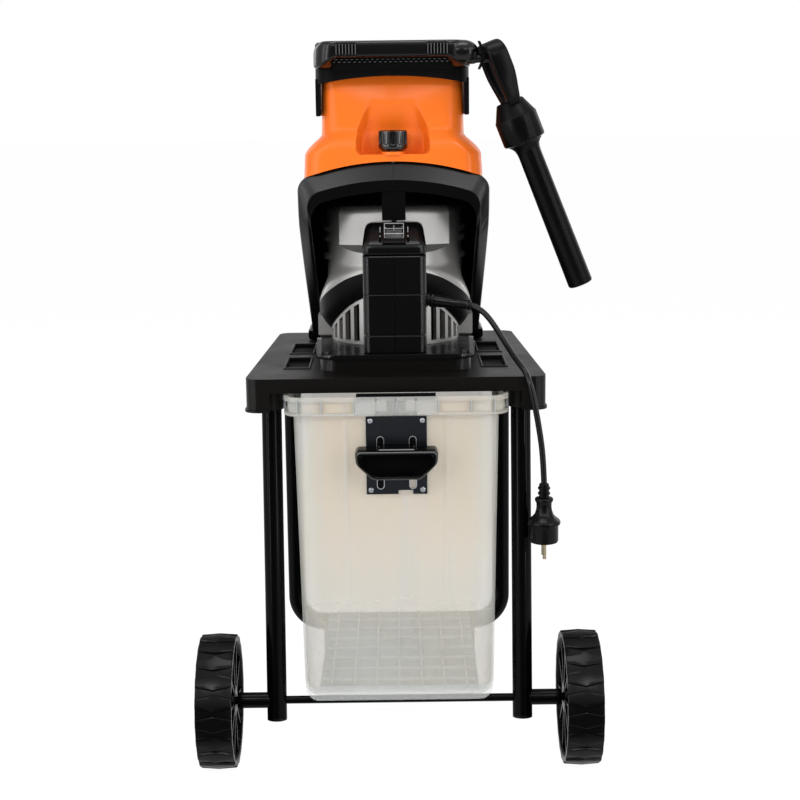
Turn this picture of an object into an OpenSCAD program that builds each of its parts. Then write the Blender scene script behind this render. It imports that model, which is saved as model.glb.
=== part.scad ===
// Garden shredder with a feed hopper, a motor under a hood, a tube stand and a collection box.
// X runs to the right, Y away from the operator, Z up. The origin is on the ground under the middle.

/* [Stand] */
// Diameter of the stand tubes
tube_d = 25; // [18:0.5:28]
// Wall of the stand tubes
tube_wall = 1.5; // [1:0.1:3]
// Half distance between the near legs
leg_x = 156; // [152:1:162]
// Lean of the near legs towards the operator, degrees
leg_lean = 6; // [3:0.5:8]
// Length of the near legs below the axle
leg_below = 22; // [16:1:40]
// Half distance between the far uprights
foot_x = 152; // [146:1:158]
// Place of the far uprights
foot_y = 216; // [212:1:220]
// Height of the far crossbar above the ground
bar_z = 64.5; // [50:0.5:78]
// Bend radius of the far tube
bend_r = 40; // [30:1:60]

/* [Wheels] */
// Wheel diameter
wheel_d = 170; // [150:1:176]
// Wheel width
wheel_w = 45; // [40:1:60]
// Inner face of the wheels from the middle
wheel_x = 206; // [190:1:215]
// Axle diameter
axle_d = 10; // [8:0.5:12]
// Axle from the middle of the machine
axle_y = -164; // [-168:1:-158]
// Number of tread lugs
lugs = 20; // [12:1:28]

/* [Base plate] */
// Height of the top of the plate
plate_z = 497; // [492:1:512]
// Thickness of the plate
plate_t = 6; // [5:0.5:8]
// Half width at the front edge
plate_front = 186; // [178:1:190]
// Half width at the far edge
plate_back = 170; // [170:1:180]
// Front edge of the plate
plate_y0 = -156; // [-160:1:-150]
// Far edge of the plate
plate_y1 = 249; // [248:1:256]
// Depth of the corner skirts below the top
skirt = 42; // [38:1:46]
// Depth of the front skirt below the top
apron = 18; // [15:1:19]
// Height of the gear case on the plate
case_h = 15; // [14.5:0.5:18]

/* [Motor] */
// Motor axis from the middle of the machine
motor_y = 58; // [56:1:60]
// Radius of the motor housing
motor_r = 90; // [86:1:94]
// Top of the motor housing above the flange
motor_h = 180; // [176:1:184]
// Thickness of the motor flange
flange_t = 6; // [5:0.5:8]
// Half width of the switch box
switch_w = 40; // [36:1:44]

/* [Hopper] */
// Half width of the hood
hood_w = 122; // [118:1:126]
// Front of the hood and the hopper
hood_y0 = -60; // [-64:1:-56]
// Far side of the hood
hood_y1 = 236; // [234:1:238]
// Height of the hood above the plate at its middle
hood_h = 260; // [255:1:267]
// Wall of the mouldings
wall = 3; // [2:0.5:4]
// Half width of the hopper
hopper_w = 89; // [86:1:92]
// Height of the orange hopper above the hood
hopper_h = 128; // [122:1:136]
// Height of the handle and the collar lip
handle_h = 20; // [16:1:26]
// Reach of the handle in front of the hopper
handle_out = 52; // [46:1:60]

/* [Collection box] */
// Half width of the box under its rim
box_w = 127; // [122:1:128]
// Half width of the rim
rim_w = 138.7; // [136:0.1:139.2]
// Height of the rim
rim_h = 23; // [18:1:24]
// Front wall of the box
box_y0 = -170; // [-172:1:-166]
// Far wall of the box
box_y1 = 185; // [170:1:190]

/* [Cutter] */
// Radius of the cutting disc
disc_r = 100; // [90:1:104]
// Thickness of the cutting disc
disc_t = 6; // [4:0.5:6]
// Teeth on the motor pinion
pinion_n = 12; // [12:1:12]
// Teeth on the spindle gear
gear_n = 48; // [48:1:48]
// Gear module
gear_m = 2; // [2:0.1:2]

/* [Hidden] */
$fn = 64;
gap = 0.3;
bite = 1;
black = "#1c1c1e";
grey = "#2b2b2e";
steel = "#8d9094";
orange = "#f5762a";
milk = "#e6dfd3";

axle_z = wheel_d / 2;
hood_top = plate_z + hood_h;
hopper_top = hood_top + hopper_h;
bore_d = axle_d + 2 * gap;
slab_z = plate_z - plate_t;
skirt_z = plate_z - skirt;
skirt_t = 5;
socket_d = tube_d + 2 * gap;
socket_w = 2.4;
leg_top = (slab_z - 4 - axle_z) / cos(leg_lean);
upright_top = slab_z - 4;
case_z = plate_z + case_h;
case_w = 96;
case_y0 = -100;
case_y1 = 225;
case_wall = 6;
chute_w = 70;
flange_z = case_z + flange_t;
flange_w = 100;
flange_y0 = -105;
flange_y1 = 170;
flange_r = 24;
flange_spots = [for (x = [-88, 88], y = [flange_y0 + 15, flange_y1 - 16]) [x, y]];
flange_bolt = 6;
chute_wall = 2.5;
chute_y0 = flange_y1 + 2;
chute_y1 = 228;
throat = [120, 45];
throat_y0 = chute_y0 + chute_wall;
spindle_y = motor_y + gear_m * (pinion_n + gear_n) / 2;
cavity_y1 = spindle_y + gear_m * (gear_n / 2 + 0.8) + 1;
ring_r = disc_r + 4;
ring_t = 4;
disc_z = slab_z - 3 - disc_t;
blade_t = 2.4;
shaft_d = 12;
spindle_d = 17;
can_r = 55.3;
can_t = 3;
can_top = flange_z + motor_h - 3.5;
stator_z = [flange_z + 29, flange_z + 99];
boss_r = 21;
bell_r = motor_r + 12;
drum_r = motor_r - 4;
switch_y0 = -96;
switch_y1 = -24;
cap_z = flange_z + 124;
slope_z0 = flange_z + 138;
slope_y1 = -62;
switch_top = flange_z + 162;
switch_wall = 2.5;
lock_y = -49;
lock_d = 8;
lock_mouth = 15;
knob_d = 36;
knob_h = 26;
shelf_z = hood_top + 9;
recess_w = 51;
recess_z1 = hood_top + 73;
recess_y1 = -26;
crown_r = 335;
corner_r = 20;
hood_wall = 5;
lip_w = 15;
lip_t = 10;
wing_z = switch_top + 2;
wing_y = 165;
hinge_y = 243;
hinge_z = plate_z + 7;
hinge_d = 5;
hinge_x = 70;
lug_d = 11;
hood_spots = [for (x = [-hood_w + 22, hood_w - 22], z = [plate_z + 55, hood_top - 65]) [x, z]];
hood_bolt = 5;
collar_w = hopper_w + 7.5;
collar_z0 = hopper_top - 25;
collar_top = hopper_top + handle_h;
collar_y0 = hood_y0 - 6;
collar_y1 = hood_y1 + 4;
handle_y0 = hood_y0 - handle_out;
handle_r = 28;
skirt_side_z = collar_z0 - 46;
mouth_w = 84;
mouth_y0 = -52;
mouth_y1 = 229;
rim_top = slab_z - 14;
rim_z = rim_top - rim_h;
rim_out = 10;
rim_corner = 24;
box_z = axle_z + axle_d / 2 + 0.5;
box_wall = 2.5;
box_foot = 120;
plate_gauge = 2;
latch_w = 37.5;
latch_z0 = rim_z - 100;
latch_z1 = rim_z - 2;
slot_w = 8;
slot_z0 = latch_z0 + 8;
slot_z1 = latch_z0 + 70.5;
slot_x = 20;
latch_travel = 14;
grip_z0 = latch_z0 + 25;
grip_z1 = grip_z0 + 36;
grip_w = 50.5;
grip_out = 34;
tongue_y = plate_y0 + skirt_t + 1.5;
rivet_d = 6;
rivet_z = [grip_z0 + 8, grip_z0 + 28];
cord_d = 7.5;
plunger_at = [156, handle_y0 + 12, collar_top - 106];
plunger_tilt = -21.6;
plunger_turn = 15;
rod_d = 29;
rod_len = 210;
block_d = 53;
grip_top = 110;
peg_d = 10;
// Points of the lead, with heights from the top of the plate
cord_points = [[97, -62, 77], [108, -66, 73], [119, -76, 63], [129, -90, 49], [138, -107, 35],
    [146, -126, 23], [153, -143, 14], [160, -158, 6], [164.5, -167, -7], [168, -169, -21],
    [171, -170, -37], [175, -170, -59], [179, -170, -85], [181, -170, -109], [182, -170, -132]];
cord_route = [for (p = cord_points) p + [0, 0, plate_z]];
boot_from = [switch_w, cord_points[0][1], flange_z + 64];
plug_at = cord_route[len(cord_route) - 1];
plug_len = 75;
pin_len = 19;

// Rounded rectangle between x = -w..w and y0..y1
module round_plan(w, y0, y1, r) {
    translate([-w + r, y0]) square([2 * (w - r), y1 - y0]);
    translate([-w, y0 + r]) square([2 * w, y1 - y0 - 2 * r]);
    for (x = [-w + r, w - r], y = [y0 + r, y1 - r]) translate([x, y]) circle(r);
}

// Upright prism on a plan given as a child
module rise(z0, z1) {
    translate([0, 0, z0]) linear_extrude(z1 - z0) children();
}

// Prism of half width w across X on a profile drawn in Y and Z
module across(w) {
    translate([-w, 0, 0]) rotate([90, 0, 90]) linear_extrude(2 * w) children();
}

// Prism along Y from y0 to y1 on a profile drawn in X and Z
module along(y0, y1) {
    translate([0, y1, 0]) rotate([90, 0, 0]) linear_extrude(y1 - y0) children();
}

// Round bar along X between x0 and x1
module bar_x(x0, x1, d) {
    translate([x0, 0, 0]) rotate([0, 90, 0]) cylinder(d = d, h = x1 - x0);
}

// Skin through rings of points, as a cup with both ends closed or as a ring closed on itself
function ring_plan(w, y0, y1, r, z, n = 6) = [
    for (c = [[w - r, y1 - r, 0], [-w + r, y1 - r, 90], [-w + r, y0 + r, 180], [w - r, y0 + r, 270]])
        for (i = [0 : n]) [c[0] + r * cos(c[2] + 90 * i / n), c[1] + r * sin(c[2] + 90 * i / n), z]];
module skin(rings, loop = false) {
    n = len(rings[0]);
    m = len(rings);
    pts = [for (ring = rings) each ring];
    sides = [for (j = [0 : loop ? m - 1 : m - 2], i = [0 : n - 1])
        let (k = (i + 1) % n, next = ((j + 1) % m) * n)
        each [[j * n + i, next + i, j * n + k], [j * n + k, next + i, next + k]]];
    caps = loop ? [] : [[for (i = [0 : n - 1]) i], [for (i = [n - 1 : -1 : 0]) (m - 1) * n + i]];
    polyhedron(pts, concat(sides, caps), convexity = 6);
}

module on_leg(side) {
    translate([side * leg_x, axle_y, axle_z]) rotate([-leg_lean, 0, 0]) children();
}

module near_leg(side) {
    on_leg(side) difference() {
        translate([0, 0, -leg_below]) cylinder(d = tube_d, h = leg_below + leg_top);
        translate([0, 0, -leg_below - bite])
            cylinder(d = tube_d - 2 * tube_wall, h = leg_below + leg_top + 2 * bite);
        bar_x(-tube_d, tube_d, bore_d);
    }
}
module near_leg_left() color(black) near_leg(-1);
module near_leg_right() color(black) near_leg(1);

module leg_end_caps() color(grey) for (side = [-1, 1]) on_leg(side) {
    cap_t = 3;
    plug_h = leg_below - bore_d / 2 - 2;
    translate([0, 0, -leg_below - cap_t]) cylinder(d = tube_d, h = cap_t);
    translate([0, 0, -leg_below]) cylinder(d = tube_d - 2 * tube_wall - gap, h = plug_h);
}

hub_x = wheel_x + wheel_w - 8;
module axle_rod() color(steel) translate([0, axle_y, axle_z]) bar_x(-hub_x - 3, hub_x + 3, axle_d);

module axle_spacers() color(black) for (side = [-1, 1]) difference() {
    spacer_d = 20;
    translate([0, axle_y, axle_z]) rotate([0, 0, side < 0 ? 180 : 0]) difference() {
        bar_x(leg_x + tube_d / 4, wheel_x - gap, spacer_d);
        bar_x(leg_x, wheel_x + bite, bore_d);
    }
    on_leg(side) translate([0, 0, -leg_below]) cylinder(d = tube_d + gap, h = 3 * leg_below);
}

module axle_caps() color(black) for (side = [0, 180]) translate([0, axle_y, axle_z]) rotate([0, 0, side])
    translate([hub_x + gap, 0, 0]) rotate([0, 90, 0]) difference() {
        union() {
            cylinder(d = 26, h = 3);
            cylinder(d = 20, h = 6);
        }
        translate([0, 0, -bite]) cylinder(d = axle_d + gap / 2, h = 3 - gap + bite + gap);
    }

// Tyre, web, hub and spokes of one wheel turned about its axle, with the web to the outside
module wheel_body() {
    rim_r = wheel_d / 2 - 3;
    web_x = wheel_w - 14;
    difference() {
        union() {
            rotate_extrude($fn = 96) polygon([[19, 0], [19, web_x], [rim_r - 16, web_x],
                [rim_r - 10, web_x - 6], [rim_r - 10, 3], [rim_r - 3, 0], [rim_r, 3], [rim_r, wheel_w - 3],
                [rim_r - 3, wheel_w],
                [rim_r - 10, wheel_w], [rim_r - 16, web_x + 5], [19, web_x + 5], [19, wheel_w - 8],
                [bore_d / 2, wheel_w - 8], [bore_d / 2, 0]]);
            for (i = [0 : 9]) rotate([0, 0, 36 * i]) translate([17, -2, 5]) cube([rim_r - 25, 4, web_x - 4]);
            intersection() {
                difference() {
                    cylinder(d = wheel_d, h = wheel_w, $fn = 96);
                    translate([0, 0, -bite]) cylinder(r = rim_r - 0.5, h = wheel_w + 2 * bite, $fn = 96);
                }
                union() for (i = [0 : lugs - 1]) rotate([0, 0, 360 / lugs * i]) {
                    lug_l = 0.4 * PI * wheel_d / lugs;
                    translate([0, 0, wheel_w / 2]) rotate([0, 90, 0]) linear_extrude(wheel_d)
                        polygon([[-wheel_w / 2 + 4, -lug_l / 2], [0, -lug_l], [wheel_w / 2 - 4, -lug_l / 2],
                            [wheel_w / 2 - 4, lug_l / 2], [0, lug_l], [-wheel_w / 2 + 4, lug_l / 2]]);
                }
            }
        }
        translate([0, 0, -bite]) cylinder(d = bore_d, h = wheel_w);
    }
}
module wheel_left() color(grey)
    translate([-wheel_x, axle_y, axle_z]) rotate([0, -90, 0]) wheel_body();
module wheel_right() color(grey)
    translate([wheel_x, axle_y, axle_z]) rotate([0, 90, 0]) wheel_body();

// Straight run and quarter bend of the far tube
module tube_run(h) difference() {
    cylinder(d = tube_d, h = h);
    translate([0, 0, -bite]) cylinder(d = tube_d - 2 * tube_wall, h = h + 2 * bite);
}
module foot_tube() color(black) {
    for (side = [0, 1]) mirror([side, 0, 0]) {
        translate([foot_x, foot_y, bar_z + bend_r]) tube_run(upright_top - bar_z - bend_r);
        translate([foot_x - bend_r, foot_y, bar_z + bend_r]) rotate([90, 0, 0]) rotate([0, 0, -90])
            rotate_extrude(angle = 90) translate([bend_r, 0]) difference() {
                circle(d = tube_d);
                circle(d = tube_d - 2 * tube_wall);
            }
    }
    translate([-foot_x + bend_r, foot_y, bar_z]) rotate([0, 90, 0]) tube_run(2 * (foot_x - bend_r));
}

module rear_feet() color(black) for (side = [0, 1]) mirror([side, 0, 0]) difference() {
    foot_w = 44;
    foot_d = 24;
    translate([foot_x - bend_r - foot_w / 2, 0, 0]) rise(0, bar_z)
        round_plan(foot_w / 2, foot_y - foot_d, foot_y + foot_d, 8);
    translate([0, foot_y, bar_z]) bar_x(0, foot_x, tube_d + gap);
}

// Plan of the plate, grown or shrunk by d
module plate_plan(d = 0) {
    r = 16 + d;
    hull() for (side = [-1, 1]) {
        translate([side * (plate_front + d - r), plate_y0 - d + r]) circle(r, $fn = 32);
        translate([side * (plate_back + d - r), plate_y1 + d - r]) circle(r, $fn = 32);
    }
}
module base_plate() color(black) {
    pocket_w = 28;
    pocket_x = 126;
    lip = 2;
    difference() {
        union() {
            rise(slab_z, plate_z) plate_plan();
            difference() {
                union() {
                    rise(skirt_z, slab_z + bite) plate_plan();
                    rise(skirt_z, skirt_z + 3) plate_plan(lip);
                }
                rise(skirt_z - bite, slab_z) plate_plan(-skirt_t);
                translate([-leg_x, plate_y0 - 20, skirt_z - bite])
                    cube([2 * leg_x, plate_y1 - plate_y0 + 40, skirt - apron + bite]);
            }
            intersection() {
                for (side = [-1, 1]) on_leg(side) cylinder(d = socket_d + 2 * socket_w, h = 2 * leg_top);
                translate([-leg_x - 30, plate_y0, skirt_z])
                    cube([2 * leg_x + 60, 120, slab_z - skirt_z + bite]);
            }
            for (x = [-foot_x, foot_x]) translate([x, foot_y, skirt_z])
                cylinder(d = socket_d + 2 * socket_w, h = skirt - plate_t + bite);
            rise(plate_z - bite, case_z) round_plan(case_w, case_y0, case_y1, 20);
            translate([0, spindle_y, slab_z - 11]) difference() {
                cylinder(r = ring_r + ring_t, h = 11 + bite);
                translate([0, 0, -bite]) cylinder(r = ring_r, h = 11 + bite);
            }
        }
        rise(plate_z, case_z + bite) round_plan(case_w - case_wall, case_y0 + case_wall, cavity_y1, 14);
        translate([-throat[0] / 2, throat_y0, slab_z - bite])
            cube([throat[0], throat[1], case_h + plate_t + 2 * bite]);
        translate([0, spindle_y, slab_z - bite]) cylinder(d = 40, h = plate_t + 2 * bite);
        for (side = [-1, 1], y = [-76, 47])
            translate([side * pocket_x - pocket_w / 2, y, plate_z - plate_t + 2])
                cube([pocket_w, 83, plate_t]);
        for (side = [-1, 1]) on_leg(side) cylinder(d = socket_d, h = leg_top + gap);
        for (x = [-foot_x, foot_x]) translate([x, foot_y, 0]) cylinder(d = socket_d, h = upright_top + gap);
    }
}

module box_runners() color(steel) for (side = [0, 1]) mirror([side, 0, 0]) {
    web_x = rim_w + 1.3;
    web_t = 2.5;
    ledge_x = box_w + 2.5;
    run_y0 = -100;
    run_l = 290;
    translate([web_x, run_y0, rim_z - 5]) cube([web_t, run_l, slab_z - rim_z + 5]);
    translate([ledge_x, run_y0, rim_z - 5]) cube([web_x - ledge_x + bite, run_l, 5 - gap]);
}

module hinge_brackets() color(black) for (x = [-hinge_x, hinge_x], s = [-1, 1])
    translate([x + s * 12 - 3, 0, 0]) difference() {
        union() {
            translate([0, hinge_y - 6, plate_z]) cube([6, 12, hinge_z - plate_z]);
            translate([0, hinge_y, hinge_z]) bar_x(0, 6, 12);
        }
        translate([0, hinge_y, hinge_z]) bar_x(-bite, 7, hinge_d + gap);
    }

module hinge_pins() color(steel) for (x = [-hinge_x, hinge_x])
    translate([x, hinge_y, hinge_z]) bar_x(-17, 17, hinge_d);

module motor_flange() color(black) difference() {
    union() {
        rise(case_z, flange_z) round_plan(flange_w, flange_y0, flange_y1, flange_r);
        translate([0, spindle_y, flange_z - bite]) cylinder(r = boss_r, h = 4 + bite);
    }
    translate([0, motor_y, case_z - bite]) cylinder(d = 32, h = flange_t + 2 * bite);
    translate([0, spindle_y, case_z - bite]) cylinder(d = 35, h = flange_t + 3);
    for (p = flange_spots) translate([p[0], p[1], case_z - bite])
        cylinder(d = flange_bolt, h = flange_t + 2 * bite);
}

module flange_screws() color(steel) for (p = flange_spots) translate([p[0], p[1], flange_z]) {
    cylinder(d = flange_bolt + 4, h = 3);
    translate([0, 0, -flange_t]) cylinder(d = flange_bolt - gap, h = flange_t);
}

module motor_can() color(steel) difference() {
    translate([0, motor_y, 0]) {
        difference() {
            rise(flange_z, can_top) circle(can_r + can_t);
            rise(flange_z - bite, can_top - 3) circle(can_r);
            rise(can_top - 4, can_top + bite) circle(d = 14);
            for (a = [0 : 45 : 315]) rotate([0, 0, a + 22.5])
                translate([can_r - 5, -10, stator_z[1] + 8]) cube([15, 20, 30]);
        }
        difference() {
            rise(can_top - 12, can_top - 2) circle(d = 36);
            rise(can_top - 13, can_top - 3) circle(d = 28);
            rise(can_top - 4, can_top) circle(d = 14);
        }
    }
    translate([0, spindle_y, flange_z - bite]) cylinder(r = boss_r + gap, h = 6);
}

module stator() color(steel) translate([0, motor_y, 0]) difference() {
    rise(stator_z[0], stator_z[1]) circle(can_r - gap);
    rise(stator_z[0] - bite, stator_z[1] + bite) circle(32);
    for (a = [0 : 30 : 330]) rotate([0, 0, a])
        translate([30, -3, stator_z[0] - bite]) cube([12, 6, stator_z[1] - stator_z[0] + 2 * bite]);
}

// Ball bearing as one ring
module bearing(outer, inner, z0, z1) rise(z0, z1) difference() {
    circle(d = outer - gap);
    circle(d = inner + gap);
}
module motor_bearings() color(steel) translate([0, motor_y, 0]) {
    bearing(32, shaft_d, case_z, flange_z);
    bearing(28, shaft_d, can_top - 11, can_top - 3 - gap);
}
module spindle_bearings() color(steel) translate([0, spindle_y, 0]) {
    bearing(40, spindle_d, slab_z, plate_z);
    bearing(35, spindle_d, case_z, flange_z + 2 - gap);
}

// Outline of the motor housing as radius and height, grown by d
function motor_outline(d) = [[0, flange_z + motor_h + d], [motor_r - 8, flange_z + motor_h + d],
    [motor_r + d, flange_z + motor_h - 12], [motor_r + d, flange_z + 76], [bell_r + d, flange_z + 60],
    [bell_r + d, flange_z + 54 - d], [drum_r + d, flange_z + 46 - d], [drum_r + d, flange_z], [0, flange_z]];
module motor_form(d) translate([0, motor_y, 0]) rotate_extrude($fn = 96) polygon(motor_outline(d));
module motor_housing() color(grey) difference() {
    motor_form(0);
    translate([0, 0, -0.01]) motor_form(-wall);
    translate([0, motor_y, flange_z - bite]) cylinder(r = drum_r - wall, h = 2 * bite);
    for (side = [-1, 1], i = [0 : 5]) translate([0, motor_y, 0]) rotate([0, 0, -90 + side * (34 + 8 * i)])
        translate([drum_r - 8, -2, flange_z + 6]) cube([20, 4, 34]);
    for (side = [-1, 1], i = [0 : 2]) translate([0, motor_y, 0]) rotate([0, 0, -90 + side * (62 + 9 * i)])
        translate([motor_r - 8, -2.5, flange_z + 96]) cube([20, 5, 60]);
}

// Profile of the switch box in Y and Z, shrunk by d
module switch_profile(d = 0) polygon([[switch_y0 + d, flange_z + d], [switch_y0 + d, slope_z0 - d],
    [slope_y1, switch_top - d], [switch_y1 - d, switch_top - d], [switch_y1 - d, flange_z + d]]);
module switch_shell() difference() {
    across(switch_w) switch_profile();
    across(switch_w - switch_wall) switch_profile(switch_wall);
    motor_form(gap);
    translate([0, lock_y, switch_top - 12]) cylinder(d = lock_mouth, h = 20);
    translate([switch_w - 10, boot_from[1], boot_from[2]]) bar_x(0, 20, 12);
    rocker_place() translate([-11, -16, -10]) cube([22, 32, 20]);
}
module switch_part(x0, x1, z0, z1) intersection() {
    switch_shell();
    translate([x0, switch_y0 - bite, z0]) cube([x1 - x0, 120, z1 - z0]);
}
module switch_box_left() color(black) switch_part(-switch_w, 0, flange_z, cap_z);
module switch_box_right() color(black) switch_part(0, switch_w, flange_z, cap_z);
module switch_cap() color(black) switch_part(-switch_w, switch_w, cap_z, switch_top);

slope_a = atan((switch_top - slope_z0) / (slope_y1 - switch_y0));
module rocker_place() translate([0, (switch_y0 + slope_y1) / 2, (slope_z0 + switch_top) / 2])
    rotate([slope_a, 0, 0]) children();
module switch_bezel() color(black) rocker_place() difference() {
    translate([-15, -20, 0]) cube([30, 40, 2.5]);
    translate([-11, -16, -bite]) cube([22, 32, 5]);
}
module switch_rocker() color(grey) rocker_place() {
    translate([0, 0, -2]) difference() {
        bar_x(-10, 10, 28);
        translate([-11, -20, -20]) cube([22, 40, 20]);
        translate([-11, -20, 5]) rotate([9, 0, 0]) cube([22, 50, 20]);
        translate([-11, 20, 5]) rotate([-9, 0, 0]) translate([0, -50, 0]) cube([22, 50, 20]);
    }
    translate([0, 0, -2]) bar_x(-10.7, 10.7, 4);
}

module interlock_switch() color(grey) {
    translate([48, -84, plate_z]) cube([26, 20, 12]);
    translate([61, -74, plate_z + 12]) cylinder(d = 5, h = 2);
}

boot_len = norm(cord_route[0] - boot_from);
boot_a = acos((cord_route[0][2] - boot_from[2]) / boot_len);
module cable_boot() color(black) {
    difference() {
        translate(boot_from) rotate([0, boot_a, 0]) rotate_extrude() polygon([[0, -3], [9, -3], [9, 3],
            [7.5, 3], [7.5, 5], [8.5, 5], [8.5, 8], [7, 8], [7, 10], [8, 10], [5.5, boot_len - 3],
            [6.5, boot_len - 3],
            [6.5, boot_len], [0, boot_len]]);
        translate([0, boot_from[1] - 20, boot_from[2] - 20]) cube([switch_w, 40, 40]);
    }
    translate(boot_from) bar_x(-8, bite, 11);
}

// Tube of n sides through the route points, with each ring square to the mean direction there
function unit(v) = v / norm(v);
function heading(p, i) = unit(p[min(i + 1, len(p) - 1)] - p[max(i - 1, 0)]);
function tube_ring(c, t, r, n) =
    let (side = unit(cross(t, [0, 1, 0.3])), up = cross(side, t))
    [for (k = [0 : n - 1]) c + r * (cos(360 * k / n) * side + sin(360 * k / n) * up)];
module mains_cord() color(black) {
    aim = unit(cord_route[0] - boot_from);
    n = len(cord_route);
    ways = [for (i = [0 : n - 1]) i == 0 ? aim : i == n - 1 ? [0, 0, -1] : heading(cord_route, i)];
    rings = [for (i = [0 : n - 1]) tube_ring(cord_route[i], ways[i], cord_d / 2, 10)];
    skin([for (i = [n - 1 : -1 : 0]) rings[i]]);
}

module mains_plug() color(black) translate(plug_at - [0, 0, plug_len]) difference() {
    rotate_extrude() polygon([[0, 0], [17, 0], [18, 2], [18, 22], [20.5, 24], [20.5, 28], [18, 31], [9, 46],
        [9, 53], [11, 53], [11, 57], [7.5, 57], [6, plug_len], [0, plug_len]]);
    for (x = [-9.5, 9.5]) translate([0, x, -bite]) cylinder(d = 4.8, h = 9);
}
module plug_pins() color("#b9a06a") for (x = [-9.5, 9.5])
    translate(plug_at - [0, -x, plug_len + pin_len]) cylinder(d = 4.8 - gap, h = pin_len + 7);

module counter_blade() color(steel) translate([throat[0] / 2 - 4, throat_y0, slab_z])
    cube([4, throat[1], plate_t]);

// Cross section of the hood in X and Z, shrunk by d: upright sides, round shoulders and a low crown
module arch(d = 0) {
    c = hood_w - corner_r;
    rise_z = sqrt(pow(crown_r - corner_r, 2) - c * c);
    z0 = hood_top - crown_r;
    wedge = c * crown_r / (crown_r - corner_r);
    intersection() {
        translate([0, z0]) circle(crown_r - d, $fn = 180);
        union() {
            translate([-hood_w + d, plate_z - 20]) square([2 * (hood_w - d), z0 + rise_z - plate_z + 20]);
            for (s = [-1, 1]) translate([s * c, z0 + rise_z]) circle(corner_r - d);
            polygon([[-c, z0 + rise_z], [c, z0 + rise_z], [wedge, hood_top + 20], [-wedge, hood_top + 20]]);
        }
    }
}
// Side view of the hood in Y and Z, with the front edge moved back by d
module hood_side(d = 0) polygon([[hood_y0 + d, hood_top + 30], [hood_y0 + d, wing_z - d / 2],
    [wing_y + d, plate_z + 1], [hood_y1, plate_z + 1], [hood_y1, hood_top + 30]]);
module hood() difference() {
    union() {
        intersection() {
            along(hood_y0, hood_y1) difference() {
                arch();
                arch(hood_wall);
            }
            across(hood_w + bite) hood_side();
        }
        intersection() {
            along(hood_y0, hood_y1) difference() {
                arch();
                arch(lip_w);
            }
            across(hood_w + bite) difference() {
                hood_side();
                hood_side(lip_t);
            }
        }
        intersection() {
            along(hood_y1 - hood_wall, hood_y1) arch();
            across(hood_w) hood_side();
        }
        translate([-lock_mouth, hood_y0, switch_top + 2])
            cube([2 * lock_mouth, 22, hood_top - switch_top - 10]);
        for (x = [-hinge_x, hinge_x]) translate([x - 8.5, 0, 0]) {
            translate([0, hinge_y, hinge_z]) bar_x(0, 17, lug_d);
            translate([0, hood_y1 - bite, hinge_z - 5]) cube([17, hinge_y - hood_y1 + bite, 10.5]);
        }
    }
    translate([-hood_w, hood_y0 - 20, hood_top - 24]) rotate([55, 0, 0])
        cube([2 * hood_w, 60, 40]);
    translate([-chute_w - 8, chute_y0 - 26, hood_top - 60])
        cube([2 * chute_w + 16, hood_y1 - hood_wall - chute_y0 + 26, 80]);
    translate([0, lock_y, switch_top]) cylinder(d = lock_d + 1.2, h = hood_top - switch_top + 20);
    for (x = [-hinge_x, hinge_x]) translate([x, hinge_y, hinge_z]) bar_x(-20, 20, hinge_d + 2 * gap);
    for (p = hood_spots) translate([p[0], hood_y1 + bite, p[1]])
        rotate([90, 0, 0]) cylinder(d = hood_bolt, h = hood_wall + 2 * bite);
}
module hood_left() color(black) intersection() {
    hood();
    translate([-hood_w - bite, hood_y0 - bite, 0])
        cube([hood_w + bite, 2 * (hood_y1 - hood_y0), 2 * hood_top]);
}
module hood_right() color(black) intersection() {
    hood();
    translate([0, hood_y0 - bite, 0]) cube([hood_w + bite, 2 * (hood_y1 - hood_y0), 2 * hood_top]);
}

module hood_screws() color(steel) for (p = hood_spots) translate([p[0], hood_y1, p[1]]) rotate([-90, 0, 0]) {
    cylinder(d = hood_bolt + 4, h = 2.5);
    translate([0, 0, -hood_wall]) cylinder(d = hood_bolt - gap, h = hood_wall);
}

// Levels of the hopper as height and half width outside
flare = hood_w - 8;
hopper_r = 24;
levels = [[hood_top - 26, flare], [hood_top + 6, flare - 1], [hood_top + 14, flare - 4],
    [hood_top + 27, hopper_w + 8], [hood_top + 33, hopper_w + 2.5], [hood_top + 44, hopper_w + 1],
    [hopper_top, hopper_w]];
function hopper_ring(l, d) = ring_plan(l[1] - d, hood_y0 + d, hood_y1 - d, hopper_r - d, l[0]);
module hopper() color(orange) difference() {
    union() {
        skin(concat([for (l = levels) hopper_ring(l, 0)],
            [for (i = [len(levels) - 1 : -1 : 0]) hopper_ring(levels[i], wall)]), true);
        translate([-recess_w - wall, hood_y0 + 1, shelf_z - 6])
            cube([2 * (recess_w + wall), recess_y1 - hood_y0 + wall - 1, recess_z1 - shelf_z + 6 + wall]);
    }
    translate([-recess_w, hood_y0 - bite, shelf_z])
        cube([2 * recess_w, recess_y1 - hood_y0 + bite, recess_z1 - shelf_z]);
    along(hood_y0 - bite, hood_y1 + bite) intersection() {
        arch(-gap / 2);
        translate([-hood_w - bite, plate_z]) square([2 * hood_w + 2 * bite, 400]);
    }
    translate([0, lock_y, hood_top - 20]) cylinder(d = lock_d + 1.2, h = recess_z1 - hood_top);
}

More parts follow.
